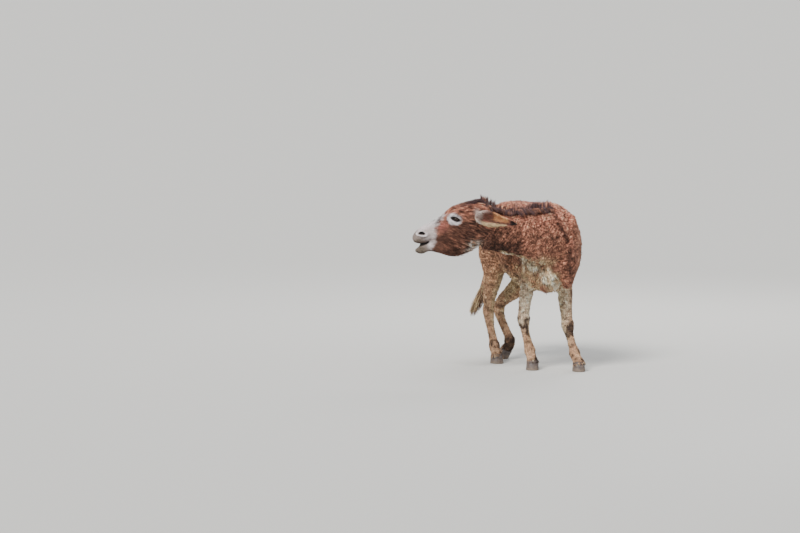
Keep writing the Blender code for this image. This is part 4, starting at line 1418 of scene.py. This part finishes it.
def eyeFinish():
    # a brown iris round a lying bar of a pupil, and a dark rim at the white
    made = Finish("donkey_eye", roughness=0.10, IOR=1.36, Coat_Weight=0.35, Coat_Roughness=0.03)
    look = made.attribute("look", "Vector")
    x, y = made.part(look, 0), made.part(look, 1)
    away = (x * x + y * y) ** 0.5
    pupil = made.between((x * x * 3.2 + y * y * 16.0) ** 0.5, 0.62, 0.74)
    fibres = made.noise(240.0, 2.0)
    iris = made.mix(made.between(fibres, 0.35, 0.65), (0.016, 0.007, 0.004, 1), (0.040, 0.018, 0.008, 1))
    white = made.mix(made.between(away, 0.70, 0.80), iris, (0.045, 0.030, 0.024, 1))
    made.colour(made.mix(pupil, (0.003, 0.003, 0.004, 1), white))
    return made.material


eyelids = {
    "proud": 0.0014,            # of the lid's edge over the globe
    "thick": 0.0030,
    "inner": 0.93,              # where the lid starts and how far its skirt runs, as
    "outer": 1.55,              # shares of the opening
    "wall": 0.0016,
    "sections": 14, "around": 64,
    "lashes": 46,
    "lashLength": 0.017, "lashWidth": 0.0011,
}


def lidPiece(hand):
    # a ring round the almond opening: along its section it starts behind the edge, rolls
    # over it and runs out to the skin, where it sinks in
    sections, around = eyelids["sections"], eyelids["around"]
    turn = circle(around)
    centre, axisLong, axisHigh, out = eyeAxes(hand)
    # almond: pointed corners, upper lid higher than the lower
    openLong = eye["halfLong"] * np.cos(turn)
    openHigh = eye["halfHigh"] * np.sign(np.sin(turn)) * np.abs(np.sin(turn)) ** 1.25
    openHigh = np.where(openHigh > 0, openHigh, openHigh * 0.85)
    rings = []
    for t in np.arange(sections) / (sections - 1):
        spread = eyelids["inner"] + (eyelids["outer"] - eyelids["inner"]) * ramp(t, 0.12, 1.0)
        x = openLong * spread
        y = openHigh * spread + np.sign(openHigh) * 0.010 * ramp(t, 0.2, 1.0)
        reach = eye["radius"] + eyelids["proud"]
        globe = np.sqrt(np.clip(reach ** 2 - x ** 2 - y ** 2, 0, None))
        swell = eyelids["thick"] * math.sin(math.pi * min(1.0, t * 1.35))
        sunk = -0.004 * fall(t, 0.0, 0.18) - 0.006 * ramp(t, 0.72, 1.0)
        level = np.maximum(globe, 0.006) + swell + sunk
        rings.append(moved(centre, (axisLong, x), (axisHigh, y), (out, level)))
    made = addMesh(handName[hand] + "_eyelids", np.vstack(rings), gridFaces(sections, around))
    wall = made.modifiers.new("thickness", "SOLIDIFY")
    wall.thickness = eyelids["wall"]
    wall.offset = -hand
    return made


def lashPiece(hand):
    # lashes along the upper lid: they leave its edge outwards and droop over the eye
    rng = np.random.default_rng(5)
    count = eyelids["lashes"]
    turn = math.pi * (0.10 + 0.80 * (np.arange(count) + 0.5) / count)
    centre, axisLong, axisHigh, out = eyeAxes(hand)
    x = eye["halfLong"] * np.cos(turn)
    y = eye["halfHigh"] * np.sin(turn) ** 1.25 + 0.0012
    level = np.sqrt(eye["radius"] ** 2 - x ** 2 - y ** 2) + eyelids["thick"]
    root = moved(centre, (axisLong, x), (axisHigh, y), (out, level))
    length = eyelids["lashLength"] * (0.7 + 0.5 * rng.random(count)) * np.sin(turn) ** 0.4
    tips = moved(root, (out, length * 0.80), (axisLong, 0.25 * x),
                 (-axisHigh, length * (0.35 + 0.25 * rng.random(count))))
    bends = moved((root + tips) / 2, (out, length * 0.12), (axisHigh, length * 0.15))
    width, tint = np.full(count, eyelids["lashWidth"]), np.tile(colours["black"], (count, 1))
    onMap = np.column_stack([0.1 + 0.8 * turn / math.pi, np.full(count, 0.5)])
    return lockPiece(handName[hand] + "_lashes", root, tips, bends, width, tint, onMap, rng, rings=3)


eyeGlass = eyeFinish()
eyes = [eyeball(1), eyeball(-1)]
print("eyes set")


hoofShape = {
    "top": (0.039, 0.040, 0.038),       # half width, toe and heel reach at the coronet
    "sole": (0.045, 0.061, 0.042),
    "slope": 0.22,
    "ring": 0.0005,
    "rings": 6.0,
    "worn": 0.0015,
    "sides": 72,
}


def hoofPiece(legName):
    # a cut cone: its outline grows from the coronet to the sole, with a rounded coronary
    # band on top, low growth rings, a worn lower edge and a sole drawn in under it
    leg = legs[legName]
    up = leg["footUp"]
    coronet = np.array(leg["joints"][-1]) - middle
    facing = unit(np.array([*leg["facing"], 0.0]))
    ahead = unit(facing - up * (facing @ up))
    side = np.cross(ahead, up)
    angle = circle(hoofShape["sides"])
    across, front = oval(hoofShape["sides"], 2.2)
    shares = np.concatenate([[-0.08, -0.04], np.linspace(0, 1, 24)])
    rings = []
    for share in shares:
        t = max(share, 0.0)
        width, toe, heel = (a + (b - a) * t for a, b in zip(hoofShape["top"], hoofShape["sole"]))
        swell = 0.0016 * bell(t, 0.06, 0.06)
        ring = hoofShape["ring"] * math.sin(t * hoofShape["rings"] * 2 * math.pi) * min(1.0, t * 4)
        inset = 0.0 if share >= 0 else (-0.006 if share > -0.06 else -0.016)
        more = swell + ring + inset - (0.003 if share == 1 else 0.0)
        reach = np.where(front > 0, toe + more, heel + more) * front
        spread = across * (width + more)
        rise = reach * hoofShape["slope"] * (1 - t) - hoofHeight * t + (0.004 if share < 0 else 0)
        wear = hoofShape["worn"] * np.sin(angle * 7 + len(legName)) * ramp(t, 0.9, 1.0) * (share < 1)
        rings.append(moved(coronet, (side, spread), (ahead, reach), (up, rise + wear)))
    last = rings[-1]
    middleOfSole = last.mean(0)
    for shrink, lift in ((0.92, 0.0), (0.84, 0.004), (0.3, 0.006)):
        rings.append(middleOfSole + (last - middleOfSole) * shrink + up * lift)
    points, faces = closedLoft(np.array(rings))
    points[:, 2] = np.maximum(points[:, 2], 0.0)
    made = addMesh("hoof_" + legName, points, faces)
    faceOutwards(made)
    made.data.materials.append(horn)
    return made


def hornFinish():
    # dark horn with fine upright lines, pale rings and dried mud low down
    made = Finish("donkey_horn", roughness=0.55)
    height = made.part(made.places(), 2)
    lines = made.noise(260.0, 2.0, where=made.stretched((1.0, 1.0, 0.12)))
    grown = made.noise(60.0, 3.0, where=made.stretched((0.3, 0.3, 3.0)))
    base = made.mix(made.between(lines, 0.35, 0.65), (0.040, 0.030, 0.029, 1), (0.100, 0.077, 0.071, 1))
    base = made.mix(made.between(grown, 0.52, 0.62), base, (0.140, 0.108, 0.098, 1))
    dust = made.between(made.noise(70.0, 5.0, roughness=0.65) - height * 7.0, 0.18, 0.52)
    made.colour(made.mix(dust, base, (0.185, 0.138, 0.105, 1)))
    made.bump(lines * 0.4 + grown * 0.6, 0.5, 0.0012)
    made.put(made.shader.inputs["Roughness"], made.between(dust, -0.2, 1.2) * 0.35 + 0.45)
    return made.material


horn = hornFinish()
hooves = {name: hoofPiece(name) for name in legs}
print("hooves shod with horn")


# share of the length, half width, depth of the cup, wall
earRows = [
    (-0.07, 0.016, 0.016, 0.020),
    (0.00, 0.038, 0.032, 0.038),
    (0.15, 0.061, 0.043, 0.025),
    (0.36, 0.060, 0.042, 0.013),
    (0.62, 0.039, 0.029, 0.011),
    (0.84, 0.021, 0.015, 0.010),
    (1.00, 0.006, 0.003, 0.006),
]
earCoat = {"across": 31, "thin": 0.0030, "backLength": 0.012, "rimLength": 0.030, "innerLength": 0.026,
           "perSquareMetre": 80000}


def earPiece(hand):
    # a leaf rolled into a cup: each section is a crescent, a parabola at the back and a
    # shallower one in the hollow, drawn in a little where the coat stands on it
    base, tip = earEnds(hand)
    along = unit(tip - base)
    opening = unit(np.array(ears[hand]["opening"]))
    out = unit(opening - along * (opening @ along))
    side = np.cross(along, out)
    rows = finer(earRows, 8)
    across = earCoat["across"]
    spread = np.linspace(-1.0, 1.0, across)
    rings = []
    for share, half, cup, wall in rows:
        thin = earCoat["thin"] * ramp(share, 0.0, 0.1)
        back = -cup * (1 - spread ** 2) + thin * (1 - spread ** 2)
        hollow = back[::-1] + (wall - 1.4 * thin) * np.sqrt(np.clip(1.04 - spread[::-1] ** 2, 0, 1))
        edge = np.concatenate([spread, spread[::-1] * 0.93]) * (half - thin)
        depth = np.concatenate([back, hollow])
        rings.append(moved(base + (tip - base) * share, (side, edge), (out, depth)))
    points, faces = closedLoft(np.array(rings))
    made = addMesh(hand + "_ear_skin", points, faces)
    faceOutwards(made)
    # of each point: 1 in the hollow, the share of the length and the place across
    inside = np.append(np.tile(np.repeat([0.0, 1.0], across), len(rows)), [0.5, 0.5])
    shares = np.append(np.repeat(rows[:, 0], 2 * across), [0.0, 1.0])
    edges = np.append(np.tile(np.append(spread, spread[::-1]), len(rows)), [0, 0])
    colour = earColour(points, inside, shares, edges, hand, along)
    paint(made.data, colour)
    made.data.materials.append(hide)
    return made, points, inside, shares, edges, colour, along


def earColour(points, inside, shares, edges, hand, along):
    # dark brown streaks behind and along the upper half of the hollow, orange-brown under
    # them with a painted shadow line below, cream at the lower rim, pale at the root and black at the
    # tip
    streak = dapple(points - np.outer(points @ along, along) * 0.75, 0.007, 71)
    low = edges * (1 if hand == "left" else -1)
    layers = Layers(np.tile(colours["umber"] * 3.4, (len(points), 1)))
    lay = layers.lay
    lay("cheek", ramp(streak, -0.1, 0.5) * 0.8)
    orange = ramp(shares, 0.30, 0.44) * fall(shares, 0.66, 0.80) * fall(low, 0.30, 0.52)
    lay("orange", orange * (1.0 + 0.4 * streak))
    # painted shadow along the lower edge of the orange hair in the hollow
    lay("umber", inside * 0.9 * bell(low, 0.58, 0.10) * ramp(shares, 0.25, 0.40))
    cream = ramp(low, 0.50 + 0.25 * shares, 0.70 + 0.20 * shares) * fall(shares, 0.62, 0.76)
    lay("cream", inside * cream * (1.0 + 0.3 * streak))
    lay("pale", ramp(-low, 0.84, 0.96) * 0.6 * fall(shares, 0.12, 0.30))
    lay("pale", fall(shares, 0.03, 0.12) * (0.70 + 0.4 * streak))
    lay("black", ramp(shares, 0.72, 0.85))
    return np.clip(layers.base, 0.004, 0.95)


def earHair(hand, made, points, inside, shares, edges, colour, along, rng):
    # short hair behind, a longer fringe from the rims and down the hollow, all to the tip
    tris = triangles(made.data)
    close = earCoat["perSquareMetre"] * (1 - 0.35 * inside)
    face, weights = scatter(tris, points, close, rng, coat["share"])
    take = lambda values: carried(values, tris, face, weights)
    root, facing = take(points), unit(take(normals(made.data)))
    rim = ramp(np.abs(take(edges)), 0.70, 0.95)
    inner = take(inside)
    far = take(shares)
    side = np.sign(take(edges))
    crosswise = unit(np.cross(facing, np.tile(along, (len(root), 1))))
    way = along + crosswise * (side * 0.5 * rim * inner)[:, None]
    low = take(edges) * (1 if hand == "left" else -1)
    way = way - np.outer(ramp(low, 0.3, 0.9) * inner, [0.0, 0.0, 0.7])
    way = laidFlat(way, facing)
    length = earCoat["backLength"] + (earCoat["innerLength"] - earCoat["backLength"]) * inner \
        + (earCoat["rimLength"] - earCoat["innerLength"]) * rim * inner
    length = length * (0.7 + 0.5 * rng.random(len(root))) * (1 - 0.55 * ramp(far, 0.7, 1.0))
    room = np.linalg.norm(earEnds(hand)[1] - root, axis=1)
    length = np.minimum(length, np.maximum(room * 0.9, 0.004))
    width = 0.0016 + 0.0010 * rng.random(len(root))
    lift = 0.0035 * (0.6 + 0.6 * rng.random(len(root))) + 0.004 * rim * inner
    tint = take(colour) * np.exp(0.38 * rng.normal(size=len(root)))[:, None]
    onMap = np.column_stack([0.01 + 0.98 * (0.25 + 0.24 * take(edges) + 0.5 * (inner > 0.5)),
                             0.02 + 0.95 * far])
    return coatPiece("coat_" + hand + "_ear", hair, root, facing, way, length, width, lift, tint,
                     onMap, rng, pull=0.35, even=0.5)


earRng = np.random.default_rng(7)
earSkins, earCoats = {}, {}
for hand in ears:
    found = earPiece(hand)
    earSkins[hand] = found[0]
    earCoats[hand] = earHair(hand, *found, earRng)
print("ears rolled")


def strandPiece(name, spines, side, other, width, tint, paintedShade, onMap):
    # three-sided tubes along their spines, whose width falls as the square root of the share
    # of the way that is left; paintedShade holds the painted shade at the root, its gain and the painted
    # highlight at the tip
    rings, count = len(spines) - 1, spines.shape[1]
    t = np.arange(rings) / rings
    half = width * 0.5 * np.sqrt(1 - t)[:, None]
    angle = (np.arange(3) * 2 * math.pi / 3)[:, None, None]
    corners = half[:, None, :, None] * (np.cos(angle) * side + np.sin(angle) * other)
    points = np.concatenate([(spines[:-1, None] + corners).reshape(-1, count, 3), spines[-1:]])
    light = np.append(np.repeat(paintedShade[0] + paintedShade[1] * t, 3), paintedShade[2])
    light = light[None, :, None] * tint[:, None, :]
    return hairPiece(name, longHair, points.transpose(1, 0, 2), light,
                     threeSided(count, rings)[:, ::-1], onMap, rings)


def lockPiece(name, root, tips, bends, width, tint, onMap, rng, rings=5):
    # locks along (1-t)^2 root + 2t(1-t) bend + t^2 tip
    way = unit(tips - root)
    side = unit(np.cross(way, rng.normal(size=(len(root), 3))))
    t = (np.arange(rings + 1) / rings)[:, None, None]
    spines = (1 - t) ** 2 * root + 2 * t * (1 - t) * bends + t * t * tips
    return strandPiece(name, spines, side, np.cross(way, side), width, tint, (0.75, 0.35, 1.15), onMap)


# the crest under the mane: x, y, top, half width
maneRows = [
    (0.120, 0.040, 1.150, 0.012),
    (0.095, -0.080, 1.152, 0.020),
    (0.020, -0.175, 1.156, 0.023),
    (-0.090, -0.232, 1.155, 0.024),
    (-0.200, -0.260, 1.156, 0.024),
    (-0.280, -0.274, 1.180, 0.023),
    (-0.330, -0.280, 1.206, 0.020),
    (-0.352, -0.284, 1.208, 0.014),
]
# the forelock: distance from the poll, top, half width
forelockRows = [
    (-0.030, 0.022, 0.022),
    (0.010, 0.034, 0.030),
    (0.060, 0.042, 0.034),
    (0.120, 0.052, 0.034),
    (0.175, 0.062, 0.028),
    (0.210, 0.056, 0.012),
]
mane = {
    "seed": 11,
    "bunches": 230,
    "perBunch": 20,
    "width": 0.0043,
    "near": 0.50,               # share of the bunches that fall to the near side
    "far": 0.18,
    "reaches": (0.052, 0.088),  # of the falling hair, at the withers and at the poll
    "raised": 0.006,            # of the roots, along the neck
    "over": 0.020,              # height of the standing tips over the crest's outline
}
forelock = {"locks": 2000, "width": 0.0036, "falling": 0.45, "drop": 0.052}
switch = {"strands": 640, "width": 0.0034, "rings": 9, "wisps": 34}
thicker = 1.0         # the locks' widths are multiplied by it


def readRows(rows, at):
    # each column of the rows at places between them
    return [np.interp(at, np.arange(len(rows)), column) for column in rows.T]


def lockMap(place, at, rows):
    # the unwrap of the crest: the place across it and the share of its length
    return np.column_stack([0.05 + 0.9 * (place + 1) / 2, 0.02 + 0.96 * at / len(rows)])


def growMane():
    # bunches of locks along the crest: some stand, most fall over to one side, and the
    # locks of a bunch leave its foot apart and run together towards its tip
    rng = np.random.default_rng(mane["seed"])
    rows = finer(maneRows, 12)
    along = levelWay(rows)
    bunches, each = mane["bunches"], mane["perBunch"]
    share = np.sort((np.arange(bunches) + rng.random(bunches)) / bunches)
    kind = rng.random(bunches)
    near, far = kind < mane["near"], kind > 1 - mane["far"]
    leans = np.where(near, 1.0, np.where(far, -1.0, 0.0))
    heights = 0.50 + 0.70 * rng.random(bunches)
    sweeps = rng.normal(0.35, 0.40, bunches)
    tones = rng.random(bunches)
    # each lock takes these from its bunch
    take = lambda values: np.repeat(values, each)
    count = bunches * each
    at = np.clip(take(share) + rng.normal(0, 0.0065, count), 0, 1) * (len(rows) - 1)
    x, y, top, half = readRows(rows, at)
    ahead = unit(np.column_stack(readRows(along, at)))
    side = np.column_stack([-ahead[:, 1], ahead[:, 0], np.zeros(count)])
    side = side * -np.sign(side[:, 1] + 1e-6)[:, None]
    up = np.array([0.0, 0.0, 1.0])
    place = rng.random(count) * 2 - 1
    crest = top - 0.050 - 0.014 * place ** 2 + mane["raised"] * fall(take(share), 0.6, 0.85)
    root = moved(np.column_stack([x, y, crest]) - middle, (side, half * place * 0.85))
    lean, sweep = take(leans), take(sweeps)
    poleward = ramp(take(share), 0.55, 0.95)
    reach = mane["reaches"][0] + (mane["reaches"][1] - mane["reaches"][0]) * poleward
    reach = reach * take(heights) * (0.80 + 0.35 * rng.random(count))
    high = (top - crest + mane["over"]) * take(heights) * (0.80 + 0.25 * rng.random(count))
    loose = rng.normal(0, 0.0045, (count, 3))
    standing = moved(root, (up, high), (-ahead, 0.030 * sweep), (-side, half * place * 0.6))
    hanging = moved(root, (side, lean * (half + 0.012 + 0.42 * reach) - half * place),
                    (-up, 0.70 * reach - 0.030), (-ahead, reach * sweep * 0.8))
    tips = np.where((lean == 0)[:, None], standing, hanging) + loose
    bends = moved((root + tips) / 2, (up, np.where(lean == 0, 0.004, 0.045)),
                  (side, 0.35 * lean * reach))
    tone = take(tones)[:, None]
    tint = np.where(tone < 0.58, colours["mane"] * 1.2,
                    np.where(tone < 0.80, colours["umber"] * 1.6, colours["brown"] * 0.95))
    tint = tint * np.exp(0.50 * rng.normal(size=count))[:, None]
    width = mane["width"] * (0.7 + 0.6 * rng.random(count)) * thicker
    return lockPiece("mane_locks", root, tips, bends, width, tint, lockMap(place, at, rows), rng)


def growForelock():
    rng = np.random.default_rng(12)
    rows = finer(forelockRows, 10)
    count = forelock["locks"]
    at = rng.random(count) * (len(rows) - 1)
    along, top, half = readRows(rows, at)
    place = rng.random(count) * 2 - 1
    level = top - 0.034 - 0.010 * place ** 2
    root = inHead(along - 0.012, level, half * place * 0.9)
    length = 0.040 + 0.030 * rng.random(count)
    rise = (top - level) * (0.45 + 0.5 * rng.random(count)) * (1 - 0.45 * ramp(along, 0.1, 0.2))
    tips = moved(root, (toMuzzle, length * 0.55), (toBrow, rise),
                 (toLeft, half * place * 0.5 + 0.006 * rng.normal(size=count)))
    falls = (rng.random(count) < forelock["falling"]) & (along < 0.13)
    hand = np.sign(place + 0.25 * rng.normal(size=count))
    drop = forelock["drop"] * (0.5 + 0.8 * rng.random(count))
    hanging = moved(root, (toLeft, hand * (half + 0.35 * drop) - half * place),
                    (-toBrow, 0.75 * drop), (toMuzzle, length * 0.25))
    tips = np.where(falls[:, None], hanging, tips)
    bends = moved((root + tips) / 2, (toBrow, np.where(falls, 0.028, rise * 0.6)))
    tint = colours["mane"] * np.exp(0.5 * rng.normal(size=count))[:, None]
    fade = ramp(along, 0.04, 0.15) * (rng.random(count) < 0.80)
    brown = colours["brown"] * np.exp(0.35 * rng.normal(size=count))[:, None]
    tint = tint + (brown - tint) * fade[:, None]
    width = forelock["width"] * (0.7 + 0.6 * rng.random(count)) * thicker
    return lockPiece("forelock_locks", root, tips, bends, width, tint, lockMap(place, at, rows), rng)


def growSwitch():
    # strands leave the dock at different heights, follow the tail's curve and spread from
    # it in wisps that wave as they go down
    rng = np.random.default_rng(13)
    rows = finer(tailRows, 12)
    rows[:, :3] -= middle
    count, rings, wisps = switch["strands"], switch["rings"], switch["wisps"]
    wisp = rng.integers(0, wisps, count)
    start = (3.3 + 2.4 * rng.random(count) ** 1.3) / (len(tailRows) - 1)
    wispEnd, wispTurn, wispOut = rng.random(wisps), rng.random(wisps) * 2 * math.pi, rng.random(wisps)
    end = np.clip(start + 0.20 + 0.30 * rng.random(count), 0.72, 0.86 + 0.14 * wispEnd[wisp])
    angle = rng.random(count) * 2 * math.pi
    out = np.sqrt(rng.random(count))
    waver = wispTurn[wisp] + 0.5 * rng.normal(size=count)
    side, other = np.array([0.80, 0.59, 0.0]), np.array([-0.59, 0.80, 0.0])
    spines = []
    step = np.linspace(0, 1, len(rows))
    width = switch["width"] * (0.6 + 0.8 * rng.random(count)) * thicker
    for t in np.arange(rings + 1) / rings:
        share = start + (end - start) * t
        spine = np.column_stack([np.interp(share, step, rows[:, i]) for i in range(3)])
        radius = np.interp(share, step, rows[:, 3])
        gather = ramp(t, 0.1, 0.9)
        # from its own place on the dock towards its wisp's place, further out
        far = (0.3 + 0.7 * wispOut[wisp]) * gather
        across = radius * (out * np.cos(angle) * (1 - gather) + 1.70 * far * np.cos(wispTurn[wisp]))
        deep = radius * (out * np.sin(angle) * (1 - gather) + 1.2 * far * np.sin(wispTurn[wisp]))
        sway = 0.0060 * t * np.sin(waver + 9 * t)
        spines.append(moved(spine, (side, across + sway), (other, deep))
                      + rng.normal(0, 0.0012, (count, 3)))
    pale = rng.random(wisps)[wisp] + 0.25 * rng.normal(size=count) > 0.42
    tint = np.where(pale[:, None], colours["cream"] * 0.95, colours["umber"] * 2.7)
    tint = tint * np.exp(0.35 * rng.normal(size=count))[:, None]
    onMap = np.column_stack([0.05 + 0.9 * angle / (2 * math.pi), 0.02 + 0.846 * start])
    # side and -other turn round the way down as a lock's axes turn round its own way
    return strandPiece("tail_locks", np.array(spines), side, -other, width, tint, (0.7, 0.4, 1.2), onMap)


maneLocks, forelockLocks, tailLocks = growMane(), growForelock(), growSwitch()
print("mane, forelock and tail grown")


lids = []
for hand in (1, -1):
    made = lidPiece(hand)
    found = positions(made.data)
    facing = normals(made.data)
    along, up, left = headPlace(found)
    none = np.zeros(len(found))
    shares = {name: none + (name == "head") for name in chainNames}
    paint(made.data, coatColour(found, facing, shares, none, none))
    made.data.materials.append(hide)
    lids += [made, lashPiece(hand)]

legFlesh = {"fore": ["shoulder", "forearm", "knee", "fore_cannon", "fore_pastern"],
            "hind": ["thigh", "gaskin", "hock", "hind_cannon", "hind_pastern"]}
flesh = ["head", "lower_jaw", "neck", "chest", "barrel", "croup", "tail_dock"]
flesh += [hand + "_" + part for hand in ("left", "right") for kind in legFlesh.values() for part in kind]


def standsFor(piece, slot, *nodes):
    # hides the nodes of the frame that a piece is seen instead of, and hangs the piece on the root body;
    # slot is not used
    if nodes:
        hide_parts(*nodes)
    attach(piece, "root")


standsFor(skin, "brown_coat", *flesh)
for piece in coatPieces:
    standsFor(piece, "leg_coat" if "fore" in piece.name or "hind" in piece.name else "brown_coat")
for piece in lids:
    standsFor(piece, "brown_coat")
for piece, hand in zip(eyes, ("left", "right")):
    standsFor(piece, "eye_wet", hand + "_eye")
for legName, piece in hooves.items():
    standsFor(piece, "hoof_horn", legName + "_hoof")
for hand in ears:
    standsFor(earSkins[hand], "dark_hair", hand + "_ear")
    standsFor(earCoats[hand], "dark_hair")
for piece, node in ((maneLocks, "mane"), (forelockLocks, "forelock"), (tailLocks, "tail_switch")):
    standsFor(piece, "dark_hair", node)


stage = {"floorColour": (0.62, 0.62, 0.60, 1.0), "floorReach": 400.0, "floorSides": 96,
         "worldColour": (0.88, 0.90, 0.93), "worldStrength": 0.80}
camera = {"lens": 200.0, "sensor": 36.0, "aim": (-0.683, -0.150, 0.7085), "elevation": math.radians(5.0),
          "scale": 143.5, "frameWide": 800}

angle = circle(stage["floorSides"])
reach = np.array([0.5, 3.0, 30.0, stage["floorReach"]])
ground = np.stack([np.outer(reach, np.cos(angle)), np.outer(reach, np.sin(angle)),
                   np.zeros((len(reach), len(angle)))], axis=-1)
ground = np.vstack([ground.reshape(-1, 3), np.zeros(3)])
first = np.arange(len(angle))
cap = np.column_stack([np.full(len(angle), len(ground) - 1), first, (first + 1) % len(angle)])
floor = addMesh("floor", ground, [gridFaces(len(reach), len(angle))[:, ::-1], cap])
floorFinish = Finish("pale_floor", roughness=0.9)
floorFinish.colour(stage["floorColour"])
floor.data.materials.append(floorFinish.material)

world = bpy.data.worlds.new("studio")
bpy.context.scene.world = world
world.use_nodes = True
backdrop = world.node_tree.nodes["Background"]
backdrop.inputs["Color"].default_value = (*stage["worldColour"], 1.0)
backdrop.inputs["Strength"].default_value = stage["worldStrength"]


def lamp(name, kind, place, target, size, power, colour):
    # a sun's size is the angle it fills, which softens its shadow
    made = bpy.data.lights.new(name, kind)
    if kind == "SUN":
        made.angle = size
    else:
        made.shape = "DISK"
        made.size = size
    made.energy = power
    made.color = colour
    holder = bpy.data.objects.new(name, made)
    holder.location = place
    look = mathutils.Vector(target) - mathutils.Vector(place)
    holder.rotation_euler = look.to_track_quat("-Z", "Y").to_euler()
    bpy.context.scene.collection.objects.link(holder)


lamp("key", "SUN", (-2.4, -4.0, 5.3), (0.0, 0.0, 0.7), math.radians(22), 4.1, (1.0, 0.965, 0.92))
lamp("fill", "AREA", (4.5, -4.5, 2.2), (0.0, 0.0, 0.6), 4.0, 45.0, (0.93, 0.96, 1.0))
lamp("rim", "AREA", (1.5, 4.5, 4.2), (0.0, 0.0, 0.8), 2.5, 120.0, (1.0, 0.98, 0.95))

lens = bpy.data.cameras.new("camera")
lens.lens = camera["lens"]
lens.sensor_width = camera["sensor"]
seen = camera["frameWide"] / camera["scale"]
distance = seen * camera["lens"] / camera["sensor"]
viewer = bpy.data.objects.new("camera", lens)
back = np.array([0.0, -math.cos(camera["elevation"]), math.sin(camera["elevation"])])
viewer.location = np.array(camera["aim"]) + back * distance
viewer.rotation_euler = (math.pi / 2 - camera["elevation"], 0.0, 0.0)
lens.clip_end = 600.0
bpy.context.scene.collection.objects.link(viewer)
bpy.context.scene.camera = viewer
print("stage lit")
